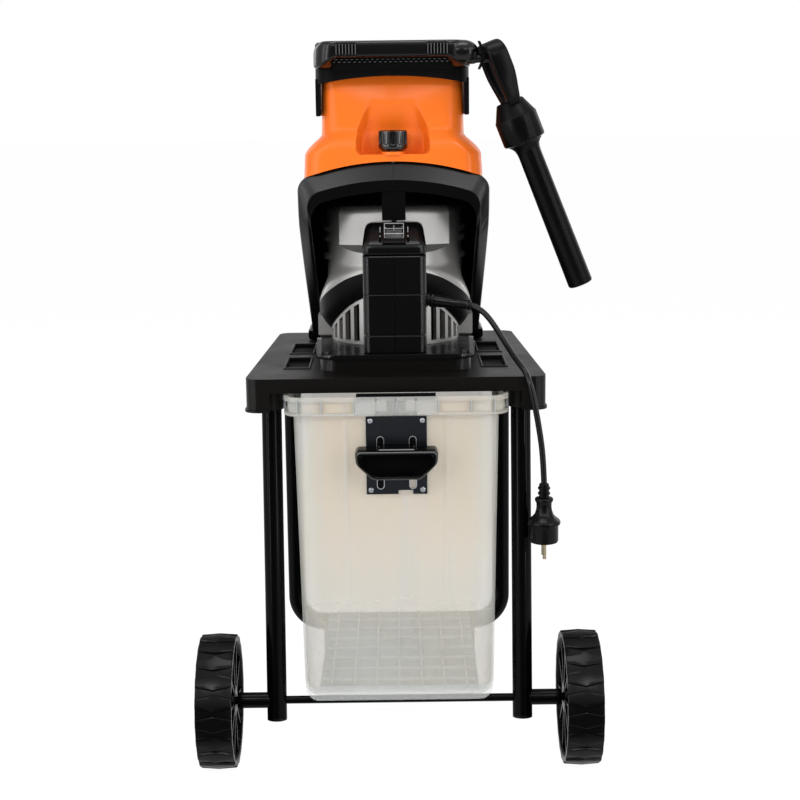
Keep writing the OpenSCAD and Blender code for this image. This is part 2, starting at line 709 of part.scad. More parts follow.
module feed_chute() color(grey) {
    t = wall + gap;
    plan = [[case_z + 2, chute_w, chute_y0, chute_y1, 12], [hood_top - 40, chute_w, chute_y0, chute_y1, 12],
        [hood_top - 5, chute_w + 2, chute_y0 - 14, chute_y1 + 1, 14],
        [hopper_top - 12, hopper_w - t, hood_y0 + t + 2, hood_y1 - t, hopper_r - t],
        [hopper_top, hopper_w - t, hood_y0 + t, hood_y1 - t, hopper_r - t]];
    skin(concat([for (p = plan) ring_plan(p[1], p[2], p[3], p[4], p[0])],
        [for (i = [len(plan) - 1 : -1 : 0]) let (p = plan[i], d = chute_wall)
            ring_plan(p[1] - d, p[2] + d, p[3] - d, p[4] - d, p[0])]), true);
}

module top_collar() color(black) difference() {
    union() {
        rise(collar_z0, collar_top) round_plan(collar_w, collar_y0, collar_y1, 26);
        rise(hopper_top, collar_top) difference() {
            round_plan(collar_w, handle_y0, collar_y0 + 40, handle_r);
            round_plan(collar_w - 22, handle_y0 + 24, collar_y0, 9);
        }
        for (side = [0, 1]) mirror([side, 0, 0])
            translate([hopper_w + 1.5, hood_y0 + 10, skirt_side_z])
                cube([collar_w - hopper_w - 1.5, 60, collar_z0 - skirt_side_z + bite]);
    }
    rise(collar_z0 - bite, hopper_top + gap)
        round_plan(hopper_w + 2 * gap, hood_y0 - gap, hood_y1 + gap, hopper_r);
    rise(hopper_top - bite, collar_top + bite) round_plan(mouth_w, mouth_y0, mouth_y1, 18);
}

module plunger_peg() color(black) difference() {
    translate([0, plunger_at[1], peg_z]) {
        bar_x(collar_w - 20, collar_w + 4, 18);
        bar_x(collar_w, peg_x, peg_d);
    }
    rise(hopper_top - 30, collar_top + 30)
        round_plan(collar_w + gap / 3, handle_y0 - gap / 3, collar_y1, handle_r);
}

module at_plunger() translate(plunger_at) rotate([0, plunger_tilt, 0]) rotate([0, 0, plunger_turn])
    children();
// Place where the loop of the grip hangs on its peg
loop_w = 62;
loop_t = 11;
hang = plunger_at + (grip_top - loop_t) * [sin(plunger_tilt), 0, cos(plunger_tilt)];
peg_z = hang[2] - peg_d / 2 - 4;
peg_x = hang[0] + 14;
module plunger_grip() color(black) at_plunger() {
    loop_d = 20;
    cone_top = 34;
    rotate_extrude() polygon([[0, -19], [block_d / 2 - 2, -19], [block_d / 2, -17], [block_d / 2, 14],
        [16, cone_top], [0, cone_top]]);
    difference() {
        translate([-loop_d / 2, 0, 0]) rotate([90, 0, 90]) linear_extrude(loop_d)
            round_plan(loop_w / 2, cone_top - 12, grip_top, 20);
        translate([-loop_d / 2 - bite, 0, 0]) rotate([90, 0, 90]) linear_extrude(loop_d + 2 * bite)
            round_plan(loop_w / 2 - loop_t, cone_top, grip_top - loop_t, 12);
    }
}
module plunger_rod() color(black) at_plunger()
    rotate_extrude() polygon([[0, -19], [22, -19], [18, -23], [rod_d / 2, -31], [rod_d / 2 + 1, -rod_len + 2],
        [rod_d / 2 - 1, -rod_len], [0, -rod_len]]);

module lock_washer() color(steel) translate([0, lock_y, shelf_z + gap]) difference() {
    cylinder(d = 24, h = 1.5);
    translate([0, 0, -bite]) cylinder(d = lock_d + 2 * gap, h = 4);
}
module lock_knob() color(black) translate([0, lock_y, shelf_z + 2 * gap + 1.5]) difference() {
    cylinder(d = knob_d, h = knob_h);
    for (i = [0 : 11]) rotate([0, 0, 30 * i]) translate([knob_d / 2 + 1.5, 0, 7])
        cylinder(d = 7, h = knob_h, $fn = 24);
    translate([0, 0, -bite]) cylinder(d = lock_d, h = 14);
}
module lock_screw() color(steel) translate([0, lock_y, switch_top - 3])
    cylinder(d = lock_d - 0.05, h = shelf_z + 10 - switch_top);

// Levels of the box outside as half width, height and corner radius
box_levels = [[box_foot - 14, box_z, 14], [box_foot - 4, box_z + 4, 16], [box_foot, box_z + 14, 18],
    [box_w, rim_z, 18]];
// Ring of the box at one level, drawn in by d and raised by h: the front wall is upright above the foot
function box_ring(l, d, h) = ring_plan(l[0] - d, box_y0 + 0.4 * max(box_foot - l[0], 0) + d,
    box_y1 - box_w + l[0] - d, l[2] - d, l[1] + h);
function rim_ring(d, z) = ring_plan(rim_w - d, box_y0 - rim_out + d, box_y1 + rim_out - d, rim_corner - d, z);
module collection_box() color(milk) difference() {
    floor_t = 3;
    skin(concat([for (l = box_levels) box_ring(l, 0, 0)],
        [rim_ring(0, rim_z), rim_ring(0, rim_top), rim_ring(box_wall, rim_top),
            rim_ring(box_wall, rim_z + box_wall)],
        [for (i = [3 : -1 : 0]) box_ring(box_levels[i], box_wall, i == 3 ? box_wall : floor_t)]));
    latch_holes();
}
// Slots and screw holes through the latch plate and the wall behind it
module latch_holes() {
    for (x = [-slot_x, slot_x])
        translate([x - slot_w / 2, box_y0 - 5, slot_z0]) cube([slot_w, 12, slot_z1 - slot_z0]);
    for (p = screw_spots()) translate([p[0], box_y0 + 10, p[1]])
        rotate([90, 0, 0]) cylinder(d = screw_d + 2 * gap, h = 20);
}

screw_d = 4;
screw_in = 7;
function screw_spots() = 
    [for (x = [-latch_w + screw_in, latch_w - screw_in], z = [latch_z0 + screw_in, latch_z1 - screw_in])
        [x, z]];
module latch_plate() color(steel) difference() {
    translate([-latch_w, box_y0 - plate_gauge, latch_z0])
        cube([2 * latch_w, plate_gauge, latch_z1 - latch_z0]);
    latch_holes();
    translate([2, box_y0 - 5, latch_z0 - bite]) cube([18, 10, 5]);
}
module latch_screws() color(steel) for (p = screw_spots())
    translate([p[0], box_y0 - plate_gauge, p[1]]) rotate([90, 0, 0]) {
        cylinder(d = screw_d + 5, h = 2.4);
        translate([0, 0, -7]) cylinder(d = screw_d, h = 7);
    }
module latch_grip() color(black) {
    y1 = box_y0 - plate_gauge - gap;
    y0 = y1 - grip_out;
    difference() {
        translate([0, y1, 0]) rotate([90, 0, 0]) linear_extrude(grip_out) polygon([[-grip_w, grip_z1 - 6],
            [-grip_w + 6, grip_z1], [grip_w - 6, grip_z1], [grip_w, grip_z1 - 6], [grip_w - 10, grip_z0],
            [-grip_w + 10, grip_z0]]);
        translate([-grip_w + 14, y0 + wall, grip_z0 - bite])
            cube([2 * grip_w - 28, grip_out - 2 * wall, grip_z1 - grip_z0 - wall]);
        for (x = [-slot_x, slot_x], z = rivet_z) translate([x, y1 + bite, z])
            rotate([90, 0, 0]) cylinder(d = rivet_d, h = 3);
    }
}
module latch_rivets() color(steel) for (x = [-slot_x, slot_x], z = rivet_z)
    translate([x, box_y0 + box_wall + gap, z]) rotate([90, 0, 0])
        cylinder(d = rivet_d, h = box_wall + plate_gauge + 2 * gap + 2);
module latch_bar() color(steel) {
    y0 = box_y0 + box_wall + gap;
    bar_w = slot_x + 6;
    jog_z = rim_z + 4;
    tongue_w = 12;
    tongue_z = slab_z - latch_travel - 1;
    translate([-bar_w, y0, rivet_z[0] - 12]) cube([2 * bar_w, plate_gauge, jog_z - rivet_z[0] + 12]);
    translate([-tongue_w, y0, jog_z]) cube([2 * tongue_w, tongue_y + plate_gauge - y0, plate_gauge]);
    translate([-tongue_w, tongue_y, jog_z]) cube([2 * tongue_w, plate_gauge, tongue_z - jog_z]);
}

blade_l = 58;
blade_w = 24;
blade_r = 38;
bolt_d = 6;
bolt_in = 14;
head_t = 2.4;
module at_blades() for (a = [0, 180]) translate([0, spindle_y, 0]) rotate([0, 0, a]) children();
module at_bolts() at_blades() for (x = [bolt_in, blade_l - bolt_in]) translate([blade_r + x, 2, 0])
    children();
module cutting_disc() color(steel) difference() {
    translate([0, spindle_y, disc_z]) cylinder(r = disc_r, h = disc_t, $fn = 96);
    translate([0, spindle_y, disc_z - bite]) cylinder(d = spindle_d + gap, h = disc_t + 2 * bite);
    at_blades() translate([blade_r, -blade_w / 2 - 14, disc_z - bite])
        cube([blade_l - 6, 12, disc_t + 2 * bite]);
    at_bolts() translate([0, 0, disc_z - bite]) cylinder(d = bolt_d + 2 * gap, h = disc_t + 2 * bite);
}
module cutting_blades() color("#c9ccd0") at_blades() difference() {
    translate([blade_r, -blade_w / 2 - 4, disc_z + disc_t]) cube([blade_l, blade_w, blade_t]);
    translate([blade_r - bite, -blade_w / 2 - 4, disc_z + disc_t]) rotate([20, 0, 0])
        translate([0, -10, 0]) cube([blade_l + 2, 10, 5]);
    for (x = [bolt_in, blade_l - bolt_in]) translate([blade_r + x, 2, disc_z + disc_t - bite])
        cylinder(d = bolt_d + 2 * gap, h = blade_t + 2 * bite);
}
module blade_screws() color(steel) at_bolts() translate([0, 0, disc_z - head_t]) {
    cylinder(d = bolt_d + 4, h = head_t);
    cylinder(d = bolt_d, h = head_t + disc_t + blade_t);
}
module spindle() color(steel) translate([0, spindle_y, 0]) {
    rise(disc_z - 2, flange_z + 1) circle(d = spindle_d);
    rise(disc_z - head_t, disc_z) circle(d = 30);
}

// Straight sided teeth of a gear about its own axis
module gear_plan(n) {
    p = 360 / n;
    r = gear_m * n / 2;
    polygon([for (i = [0 : n - 1], q = [[-0.3, -1.3], [-0.12, 0.8], [0.12, 0.8], [0.3, -1.3]])
        (r + q[1] * gear_m) * [cos(p * (i + q[0])), sin(p * (i + q[0]))]]);
}
gear_z = plate_z + 3;
gear_t = case_h - 6;
module spindle_gear() color(steel) translate([0, spindle_y, 0]) rise(gear_z, gear_z + gear_t) difference() {
    rotate(180 / gear_n * (gear_n % 2)) gear_plan(gear_n);
    circle(d = spindle_d + gap);
}
module motor_pinion() color(steel) translate([0, motor_y, 0]) rise(gear_z, gear_z + gear_t) difference() {
    rotate(180 / pinion_n) gear_plan(pinion_n);
    circle(d = shaft_d + gap);
}
module armature() color("#b0713a") translate([0, motor_y, 0]) {
    rise(gear_z - 2, can_top - 1) circle(d = shaft_d);
    rise(stator_z[0] + 2, stator_z[1] - 2) circle(31);
    rise(stator_z[1] + 8, stator_z[1] + 30) circle(16);
}
module cooling_fan() color(grey) translate([0, motor_y, 0]) difference() {
    union() {
        rise(flange_z + 10, flange_z + 13) circle(48);
        rise(flange_z + 10, flange_z + 25) circle(14);
        for (a = [0 : 30 : 330]) rotate([0, 0, a]) translate([13, -1, flange_z + 12]) cube([34, 2, 12]);
    }
    rise(flange_z, flange_z + 30) circle(d = shaft_d + gap);
}

near_leg_left();
near_leg_right();
leg_end_caps();
axle_rod();
axle_spacers();
axle_caps();
foot_tube();
rear_feet();
base_plate();
box_runners();
hinge_brackets();
hinge_pins();
motor_flange();
flange_screws();
motor_can();
stator();
motor_bearings();
spindle_bearings();
motor_housing();
switch_box_left();
switch_box_right();
switch_cap();
switch_bezel();
interlock_switch();
cable_boot();
mains_cord();
mains_plug();
plug_pins();
counter_blade();
switch_rocker();
hopper();
hood_left();
hood_right();
top_collar();
feed_chute();
hood_screws();
plunger_peg();
lock_washer();
lock_knob();
lock_screw();
plunger_grip();
plunger_rod();
collection_box();
latch_plate();
latch_screws();
latch_grip();
latch_bar();
latch_rivets();
wheel_left();
wheel_right();
cutting_disc();
cutting_blades();
blade_screws();
spindle();
spindle_gear();
armature();
motor_pinion();
cooling_fan();
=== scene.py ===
"""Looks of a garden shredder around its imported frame. Meshes are worked out in millimetres."""
import math

import bpy
import numpy as np
from mathutils import Matrix, Vector


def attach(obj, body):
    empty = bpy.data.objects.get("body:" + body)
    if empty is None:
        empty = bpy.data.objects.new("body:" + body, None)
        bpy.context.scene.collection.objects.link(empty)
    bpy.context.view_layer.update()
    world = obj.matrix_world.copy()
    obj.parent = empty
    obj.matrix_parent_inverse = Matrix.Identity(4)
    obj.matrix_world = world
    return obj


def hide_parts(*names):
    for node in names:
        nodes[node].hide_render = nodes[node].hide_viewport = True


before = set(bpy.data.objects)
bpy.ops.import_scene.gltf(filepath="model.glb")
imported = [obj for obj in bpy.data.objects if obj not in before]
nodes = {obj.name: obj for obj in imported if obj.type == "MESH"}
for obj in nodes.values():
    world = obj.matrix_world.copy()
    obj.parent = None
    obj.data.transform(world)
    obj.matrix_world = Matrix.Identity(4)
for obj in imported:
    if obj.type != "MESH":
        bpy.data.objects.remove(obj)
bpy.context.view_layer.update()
scene = bpy.context.scene
MM = 0.001

# Camera: a 74 mm lens about 2.2 m in front of the machine, a little above its middle, looking 10.5
# degrees down, with the small tilt of the hand-held frame.
CAMERA_AT = (0.005, -2.151, 0.8391)
CAMERA_DOWN = math.radians(10.5)
CAMERA_ROLL = math.radians(-0.7)
camera_data = bpy.data.cameras.new("camera")
camera_data.lens = 74
camera_data.sensor_width = 36
camera = bpy.data.objects.new("camera", camera_data)
camera.matrix_world = (Matrix.Translation(CAMERA_AT)
                       @ Matrix.Rotation(math.pi / 2 - CAMERA_DOWN, 4, "X")
                       @ Matrix.Rotation(CAMERA_ROLL, 4, "Z"))
scene.collection.objects.link(camera)
scene.camera = camera
scene.view_settings.view_transform = "Standard"

# Studio: a white surround, a pale floor that keeps the shadow, strip lamps and wide boxes at both sides,
# two boxes over the camera, two behind and one above the machine. Surround and floor are white to the
# camera, in mirrors and through the box, and only a weak fill on the object.
SIDES = ((-1, "left"), (1, "right"))
SQUARE = np.array([(-1, -1), (1, -1), (1, 1), (-1, 1)], float)
SEEN_RAYS = ("Is Camera Ray", "Is Glossy Ray", "Is Transmission Ray")
FILL = 0.3


def add(tree, kind, feeds=(), **settings):
    """New shader node with its settings, whose inputs take values or other nodes' outputs."""
    made = tree.nodes.new("ShaderNode" + kind)
    for key, value in settings.items():
        setattr(made, key, value)
    for key, value in dict(feeds).items():
        if isinstance(value, bpy.types.NodeSocket):
            tree.links.new(value, made.inputs[key])
        else:
            made.inputs[key].default_value = value
    return made


def seen_share(tree):
    """Output that is 1 for rays that see a thing sharply and 0 for the others."""
    rays = add(tree, "LightPath").outputs
    share = rays[SEEN_RAYS[0]]
    for name in SEEN_RAYS[1:]:
        share = add(tree, "Math", {0: share, 1: rays[name]}, operation="MAXIMUM").outputs[0]
    return share


world = bpy.data.worlds.new("surround")
scene.world = world
world.use_nodes = True
sky = world.node_tree
sky.nodes.clear()
fill = add(sky, "Background", {"Strength": FILL})
white = add(sky, "Background", {"Color": (1, 1, 1, 1)})
either = add(sky, "MixShader", {"Fac": seen_share(sky), 1: fill.outputs[0], 2: white.outputs[0]})
add(sky, "OutputWorld", {"Surface": either.outputs[0]})


def soft_box(name, at, toward, wide, high, watts):
    """Rectangular lamp at one point, facing another."""
    lamp = bpy.data.lights.new(name, "AREA")
    lamp.shape = "RECTANGLE"
    lamp.size = wide
    lamp.size_y = high
    lamp.energy = watts
    thing = bpy.data.objects.new(name, lamp)
    away = Vector(at) - Vector(toward)
    thing.matrix_world = Matrix.Translation(at) @ away.to_track_quat("Z", "Y").to_matrix().to_4x4()
    scene.collection.objects.link(thing)


for side, name in SIDES:
    soft_box(name + "_strip", (side * 1.45, -1.65, 1.1), (0, 0, 0.6), 0.12, 2.2, 14)
    soft_box(name + "_side_box", (side * 2.0, -1.1, 1.25), (0, 0, 0.6), 0.5, 2.4, 12.5)
    soft_box(name + "_back_box", (side * 1.7, 1.5, 1.3), (0, 0, 0.6), 0.8, 1.8, 11)
    soft_box(name + "_front_box", (side * 0.62, -2.15, 1.95), (0, 0, 0.7), 0.4, 0.5, 10)
soft_box("top_soft_box", (0, -0.3, 2.7), (0, 0, 0.5), 1.3, 0.9, 20)

FLOOR_HALF = 30.0
FLOOR_PALE = (0.86, 0.86, 0.86, 1)
FLOOR_FAINT = (0.1, 0.1, 0.1, 1)
FLOOR_GLOW = 0.965
floor_mesh = bpy.data.meshes.new("floor")
floor_mesh.from_pydata(np.c_[SQUARE * FLOOR_HALF, np.zeros(4)].tolist(), [], [(0, 1, 2, 3)])
floor = bpy.data.objects.new("floor", floor_mesh)
scene.collection.objects.link(floor)
paper = bpy.data.materials.new("floor_paper")
paper.use_nodes = True
tree = paper.node_tree
tree.nodes.clear()
matt = add(tree, "BsdfDiffuse", {"Color": FLOOR_PALE})
faint = add(tree, "BsdfDiffuse", {"Color": FLOOR_FAINT})
glow = add(tree, "Emission", {"Strength": FLOOR_GLOW})
both = add(tree, "AddShader", {0: faint.outputs[0], 1: glow.outputs[0]})
either = add(tree, "MixShader", {"Fac": seen_share(tree), 1: matt.outputs[0], 2: both.outputs[0]})
add(tree, "OutputMaterial", {"Surface": either.outputs[0]})
floor_mesh.materials.append(paper)

# Mains lead: 7.5 mm rubber flex that leaves the boot on the switch box, bends over the near edge of
# the base plate and hangs free down to its plug.
CORD_D = 7.5
PLATE_Z = 497.0
CORD_ROUTE = np.array([
    (97, -62, 77), (108, -66, 73), (119, -76, 63), (129, -90, 49), (138, -107, 35), (146, -126, 23),
    (153, -143, 14), (160, -158, 6), (164.5, -167, -7), (168, -169, -21), (171, -170, -37),
    (175, -170, -59), (179, -170, -85), (181, -170, -109), (182, -170, -132)], float) + (0, 0, PLATE_Z)


def linear(code):
    """Linear colour of a #rrggbb code: the usual screen curve undone channel by channel."""
    c = np.array([int(code[i:i + 2], 16) for i in (1, 3, 5)]) / 255
    c = np.where(c <= 0.04045, c / 12.92, ((c + 0.055) / 1.055) ** 2.4)
    return (*c.tolist(), 1.0)


def new_group(name, inputs, outputs):
    """Empty shader group with the named kinds of sockets; also its inputs and outputs as seen from within."""
    group = bpy.data.node_groups.new(name, "ShaderNodeTree")
    for way, sockets in (("INPUT", inputs), ("OUTPUT", outputs)):
        for socket, kind in sockets.items():
            group.interface.new_socket(socket, in_out=way, socket_type="NodeSocket" + kind)
    return group, group.nodes.new("NodeGroupInput").outputs, group.nodes.new("NodeGroupOutput").inputs


def moulded_grain():
    """Group for moulded and painted surfaces: a broad cloud mixes two tints and two roughnesses, and a
    fine grain with a little of the cloud gives the height."""
    floats = dict.fromkeys(("Cloud", "Grain", "Smooth", "Rough"), "Float")
    group, into, out = new_group("moulded_grain", {"Tint": "Color", "Shade": "Color", **floats},
                                 {"Colour": "Color", "Roughness": "Float", "Height": "Float"})
    where = add(group, "TexCoord").outputs["Object"]
    cloud = add(group, "TexNoise", {"Vector": where, "Scale": into["Cloud"], "Detail": 4}).outputs["Fac"]
    grain = add(group, "TexNoise", {"Vector": where, "Scale": into["Grain"], "Detail": 2}).outputs["Fac"]
    tint = add(group, "Mix", {"Factor": cloud, "A": into["Tint"], "B": into["Shade"]}, data_type="RGBA")
    shine = add(group, "MapRange", {"Value": cloud, "From Min": 0.3, "From Max": 0.7,
                                    "To Min": into["Smooth"], "To Max": into["Rough"]})
    height = add(group, "Math", {0: cloud, 1: 0.35, 2: grain}, operation="MULTIPLY_ADD")
    group.links.new(tint.outputs["Result"], out["Colour"])
    group.links.new(shine.outputs["Result"], out["Roughness"])
    group.links.new(height.outputs[0], out["Height"])
    return group


def painted_side_sheen():
    """Group for a painted sheen on black plastic: edges and flanks take a clear coat, while flat fronts,
    backs and tops stay matt, so the coat stands in for light from the lamps at the sides.
    The weight is an amount times a falloff of the surface's own |Y| and |Z| normals near 1."""
    group, into, out = new_group("painted_side_sheen", {"Amount": "Float"}, {"Weight": "Float"})
    normal = add(group, "SeparateXYZ", {0: add(group, "TexCoord").outputs["Normal"]}).outputs
    share = into["Amount"]
    for axis in ("Y", "Z"):
        size = add(group, "Math", {0: normal[axis]}, operation="ABSOLUTE").outputs[0]
        fall = add(group, "MapRange", {"Value": size, "From Min": 0.995, "From Max": 0.92, "To Max": share},
                   interpolation_type="SMOOTHSTEP")
        share = fall.outputs["Result"]
    group.links.new(share, out["Weight"])
    return group


GRAIN = moulded_grain()
SIDE_SHEEN_GROUP = painted_side_sheen()
BUMP_STEP = 0.0001


def finish(name, tint, shade, smooth, rough, cloud=30, grain=1500, depth=0.02, side_sheen=0.0, specular=0.5,
           **sockets):
    """Material on the moulded grain, with a painted side sheen where wanted; the other values are set on the
    shader's own sockets."""
    material = bpy.data.materials.new(name)
    material.use_nodes = True
    tree = material.node_tree
    shader = tree.nodes["Principled BSDF"].inputs
    skin = add(tree, "Group", {"Tint": linear(tint), "Shade": linear(shade), "Cloud": cloud, "Grain": grain,
                               "Smooth": smooth, "Rough": rough}, node_tree=GRAIN).outputs
    bump = add(tree, "Bump", {"Strength": depth * 10, "Distance": BUMP_STEP, "Height": skin["Height"]})
    tree.links.new(skin["Colour"], shader["Base Color"])
    tree.links.new(skin["Roughness"], shader["Roughness"])
    tree.links.new(bump.outputs["Normal"], shader["Normal"])
    shader["Specular IOR Level"].default_value = specular
    # Painted sheen: a clear coat only on faces turned sideways, standing in for the light of the side lamps.
    if side_sheen:
        side_sheen_node = add(tree, "Group", {"Amount": side_sheen}, node_tree=SIDE_SHEEN_GROUP)
        tree.links.new(side_sheen_node.outputs["Weight"], shader["Coat Weight"])
        shader["Coat Roughness"].default_value = smooth
    for key, value in sockets.items():
        shader[key.replace("_", " ")].default_value = value
    return material


rubber = finish("cord_rubber", "#0e0e10", "#09090a", 0.26, 0.36, cloud=60, specular=0.06, side_sheen=0.3)
cord_curve = bpy.data.curves.new("mains_lead", "CURVE")
cord_curve.dimensions = "3D"
cord_curve.bevel_depth = CORD_D / 2 * MM
cord_curve.bevel_resolution = 5
cord_curve.resolution_u = 8
cord_curve.use_fill_caps = True
run = cord_curve.splines.new("NURBS")
run.points.add(len(CORD_ROUTE) - 1)
run.points.foreach_set("co", np.c_[CORD_ROUTE * MM, np.ones(len(CORD_ROUTE))].ravel())
run.order_u = 3
run.use_endpoint_u = True
cord_curve.materials.append(rubber)
cord = bpy.data.objects.new("mains_lead", cord_curve)
scene.collection.objects.link(cord)
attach(cord, "base")
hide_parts("mains_cord")

# Plug: one moulded rubber body with a ribbed sleeve, a waist to hold, a flange and two brass pins.
PLUG_TOP = CORD_ROUTE[-1]
PLUG_LEN = 75.0


def loft(rings, ends="caps"):
    """Skin through rings of equally many points. The ends are capped, joined to each other or left open."""
    rings = np.asarray(rings, float)
    k, n = rings.shape[:2]
    i = np.arange(n)
    rows = np.arange(k if ends == "loop" else k - 1)[:, None]
    low = rows * n
    high = (rows + 1) % k * n
    quads = np.stack([low + i, low + (i + 1) % n, high + (i + 1) % n, high + i], -1).reshape(-1, 4)
    faces = quads.tolist()
    if ends == "caps":
        faces += [list(range(n - 1, -1, -1)), list(range((k - 1) * n, k * n))]
    return rings.reshape(-1, 3), faces


def full_turn(count):
    """Equally spaced angles round a full turn."""
    return np.linspace(0, 2 * np.pi, count, endpoint=False)


def polar(r, a, z, y=0.0):
    """Ring of radii r at angles a and heights z about an upright axis at y."""
    return np.stack([r * np.cos(a), y + r * np.sin(a), z + 0 * a], -1)


def turned(profile, sides=64):
    """Surface of revolution about Z through (radius, height) points, from the bottom up."""
    return loft([polar(r, full_turn(sides), z) for r, z in profile])


def moved(part, shift=(0, 0, 0), turn=None):
    """A part turned by a 3 x 3 matrix and then shifted."""
    points, faces = part
    if turn is not None:
        points = points @ np.asarray(turn).T
    return points + np.asarray(shift, float), faces


def outward(points, faces):
    """The faces, turned round if the signed volume of their fans is negative."""
    fan = [(f[0], f[i], f[i + 1]) for f in faces for i in range(1, len(f) - 1)]
    a, b, c = (points[np.array(fan)[:, i]] for i in range(3))
    inside_out = np.einsum("ij,ij->i", a, np.cross(b, c)).sum() < 0
    return [f[::-1] for f in faces] if inside_out else faces


def piece(name, parts, material, body, replaced=None, sharp=35):
    """One object from closed parts in millimetres, smooth but for edges over the sharp angle. It may stand
    for a node of the frame, the replaced one."""
    points = np.concatenate([p for p, _ in parts])
    starts = np.cumsum([0] + [len(p) for p, _ in parts])
    faces = [[i + start for i in f] for (p, fs), start in zip(parts, starts) for f in outward(p, fs)]
    mesh = bpy.data.meshes.new(name)
    mesh.from_pydata((points * MM).tolist(), [], faces)
    mesh.polygons.foreach_set("use_smooth", np.ones(len(mesh.polygons), bool))
    mesh.set_sharp_from_angle(angle=math.radians(sharp))
    mesh.materials.append(material)
    thing = bpy.data.objects.new(name, mesh)
    scene.collection.objects.link(thing)
    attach(thing, body)
    if replaced:
        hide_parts(replaced)
    return thing


def dress(material, *names, round_by=0.0):
    """Gives CAD nodes a material and, where wanted, edges rounded by that many millimetres."""
    for name in names:
        node = nodes[name]
        node.data.materials.clear()
        node.data.materials.append(material)
        if round_by:
            weld = node.modifiers.new("weld", "WELD")
            weld.merge_threshold = 0.02 * MM
            edge = node.modifiers.new("round", "BEVEL")
            edge.width = round_by * MM
            edge.segments = 2
            edge.limit_method = "ANGLE"
            edge.angle_limit = math.radians(38)
            edge.harden_normals = True


sleeve = [(6.2 + 1.4 * (i % 2), 57.5 + 3.3 * i + s) for i in range(5) for s in (0.4, 2.9)]
plug_profile = [(15.5, 0), (17.2, 0.8), (18, 2.6), (18, 21.5), (18.6, 22.5), (20.1, 23.4), (20.5, 24.6),
                (20.5, 26.6), (20, 28), (18.4, 29.6), (14.6, 32.6), (11.8, 36), (10.1, 40.5), (9.4, 45.5),
                (9.6, 50.5), (10.8, 52.2), (11.4, 53.6), (11.4, 55.6), (10.6, 56.8)]
plug_profile += sleeve + [(5.2, PLUG_LEN)]
rubber_grip = finish("plug_rubber", "#0a0a0b", "#060607", 0.22, 0.32, cloud=50, specular=0.02, side_sheen=0.2)
plug = piece("mains_plug_body", [moved(turned(plug_profile), PLUG_TOP - (0, 0, PLUG_LEN))],
             rubber_grip, "base", "mains_plug")
brass = finish("pin_brass", "#a89c84", "#857a66", 0.18, 0.3, cloud=200, Metallic=1.0)
dress(brass, "plug_pins", round_by=0.6)

# Stand: 25 mm steel tubes painted gloss black, with push-in end caps, a plain axle rod on spacers and
# two moulded far feet. These are the frame's own solids; the caps and feet have their edges eased.
gloss_paint = finish("gloss_black_paint", "#050506", "#030304", 0.12, 0.2, cloud=18, grain=500, depth=0.004,
                     specular=0.01, side_sheen=0.12)
dress(gloss_paint, "near_leg_left", "near_leg_right", "foot_tube", "axle_rod", "axle_spacers")
black_cap = finish("black_cap_plastic", "#0b0b0c", "#070708", 0.3, 0.42, specular=0.04, side_sheen=0.15)
dress(black_cap, "leg_end_caps", "axle_caps", "rear_feet", round_by=1.5)

# Wheels: hard black plastic, a tread of 20 raised six-sided lugs with bow-tie hollows between them, an
# open inner side with a dished web, ten ribs and a hub on the axle.
WHEEL_R = 84.97
WHEEL_W = 45.0
WHEEL_IN = 206.0
AXLE_Y = -164.0
LUGS = 20
LUG_H = 2.8
WHEEL_RIBS = 10
wheel_plastic = finish("wheel_plastic", "#0a0a0b", "#060607", 0.24, 0.36, cloud=25, grain=900, depth=0.03,
                       specular=0.01, side_sheen=0.22)


def wheel_rings():
    """Rings about the axle, from the inner edge over the tread and back through the hub, worked out about Z
    and laid over to X. In each pitch of 18 degrees a lug's half angle is widest at mid width, its flank falls
    in two steps and its back is lightly crowned."""
    rows = np.array([0.0, 1.2, 11, 22.5, 34, 43.8, 45])
    half = 3.6 + 3.4 * (1 - np.abs(rows / WHEEL_W * 2 - 1))
    ease = np.array([2.4, 1.5, 0.9, 0, 0.9, 1.5, 2.4])
    pitch = 360 / LUGS
    share = np.array([-1, -1, -1, -0.5, 0, 0.5, 1, 1, 1, 0])
    extra = np.array([-0.8, -0.2, 0.4, 0, 0, 0, -0.4, 0.2, 0.8, pitch / 2])
    low = np.array([1, 0.15, 0, 0, 0, 0, 0, 0.15, 1, 1])
    a = np.arange(LUGS)[:, None, None] * pitch + share[None, :, None] * half + extra[None, :, None]
    r = WHEEL_R - LUG_H * low[None, :, None] - ease * (1 - 0.6 * low[None, :, None]) + 0 * a
    a = np.radians(a.reshape(-1, len(rows)).T)
    r = r.reshape(-1, len(rows)).T
    tread = polar(r, a, rows[:, None])
    inner = [(45, 79.5), (44.2, 78), (43, 76.5), (39, 75.5), (37, 72), (36.5, 40), (38, 26), (43, 24),
             (44, 22.5), (44, 8), (43, 5.6), (4, 5.6), (2, 8), (2, 17.5), (3, 19.5), (16, 21), (18.5, 24),
             (19, 68), (17, 72.5), (3, 74), (0.8, 75.2), (0, 77), (0, 79.5)]
    back = [polar(q, a[-1], x) for x, q in inner]
    return np.concatenate([tread, back])[..., [2, 0, 1]]


def slab(x0, x1, y0, y1, z0, z1, ease=0.5):
    """Box with its top and bottom edges eased."""
    plan = np.array([(x0, y0), (x1, y0), (x1, y1), (x0, y1)], float)
    rings = [(ease, z0), (0, z0 + ease), (0, z1 - ease), (ease, z1)]
    return loft([np.c_[plan - SQUARE * d, np.full(4, z)] for d, z in rings])


def turn_about(axis, degrees):
    """3 x 3 matrix of a turn about one axis."""
    return np.array(Matrix.Rotation(math.radians(degrees), 3, axis))


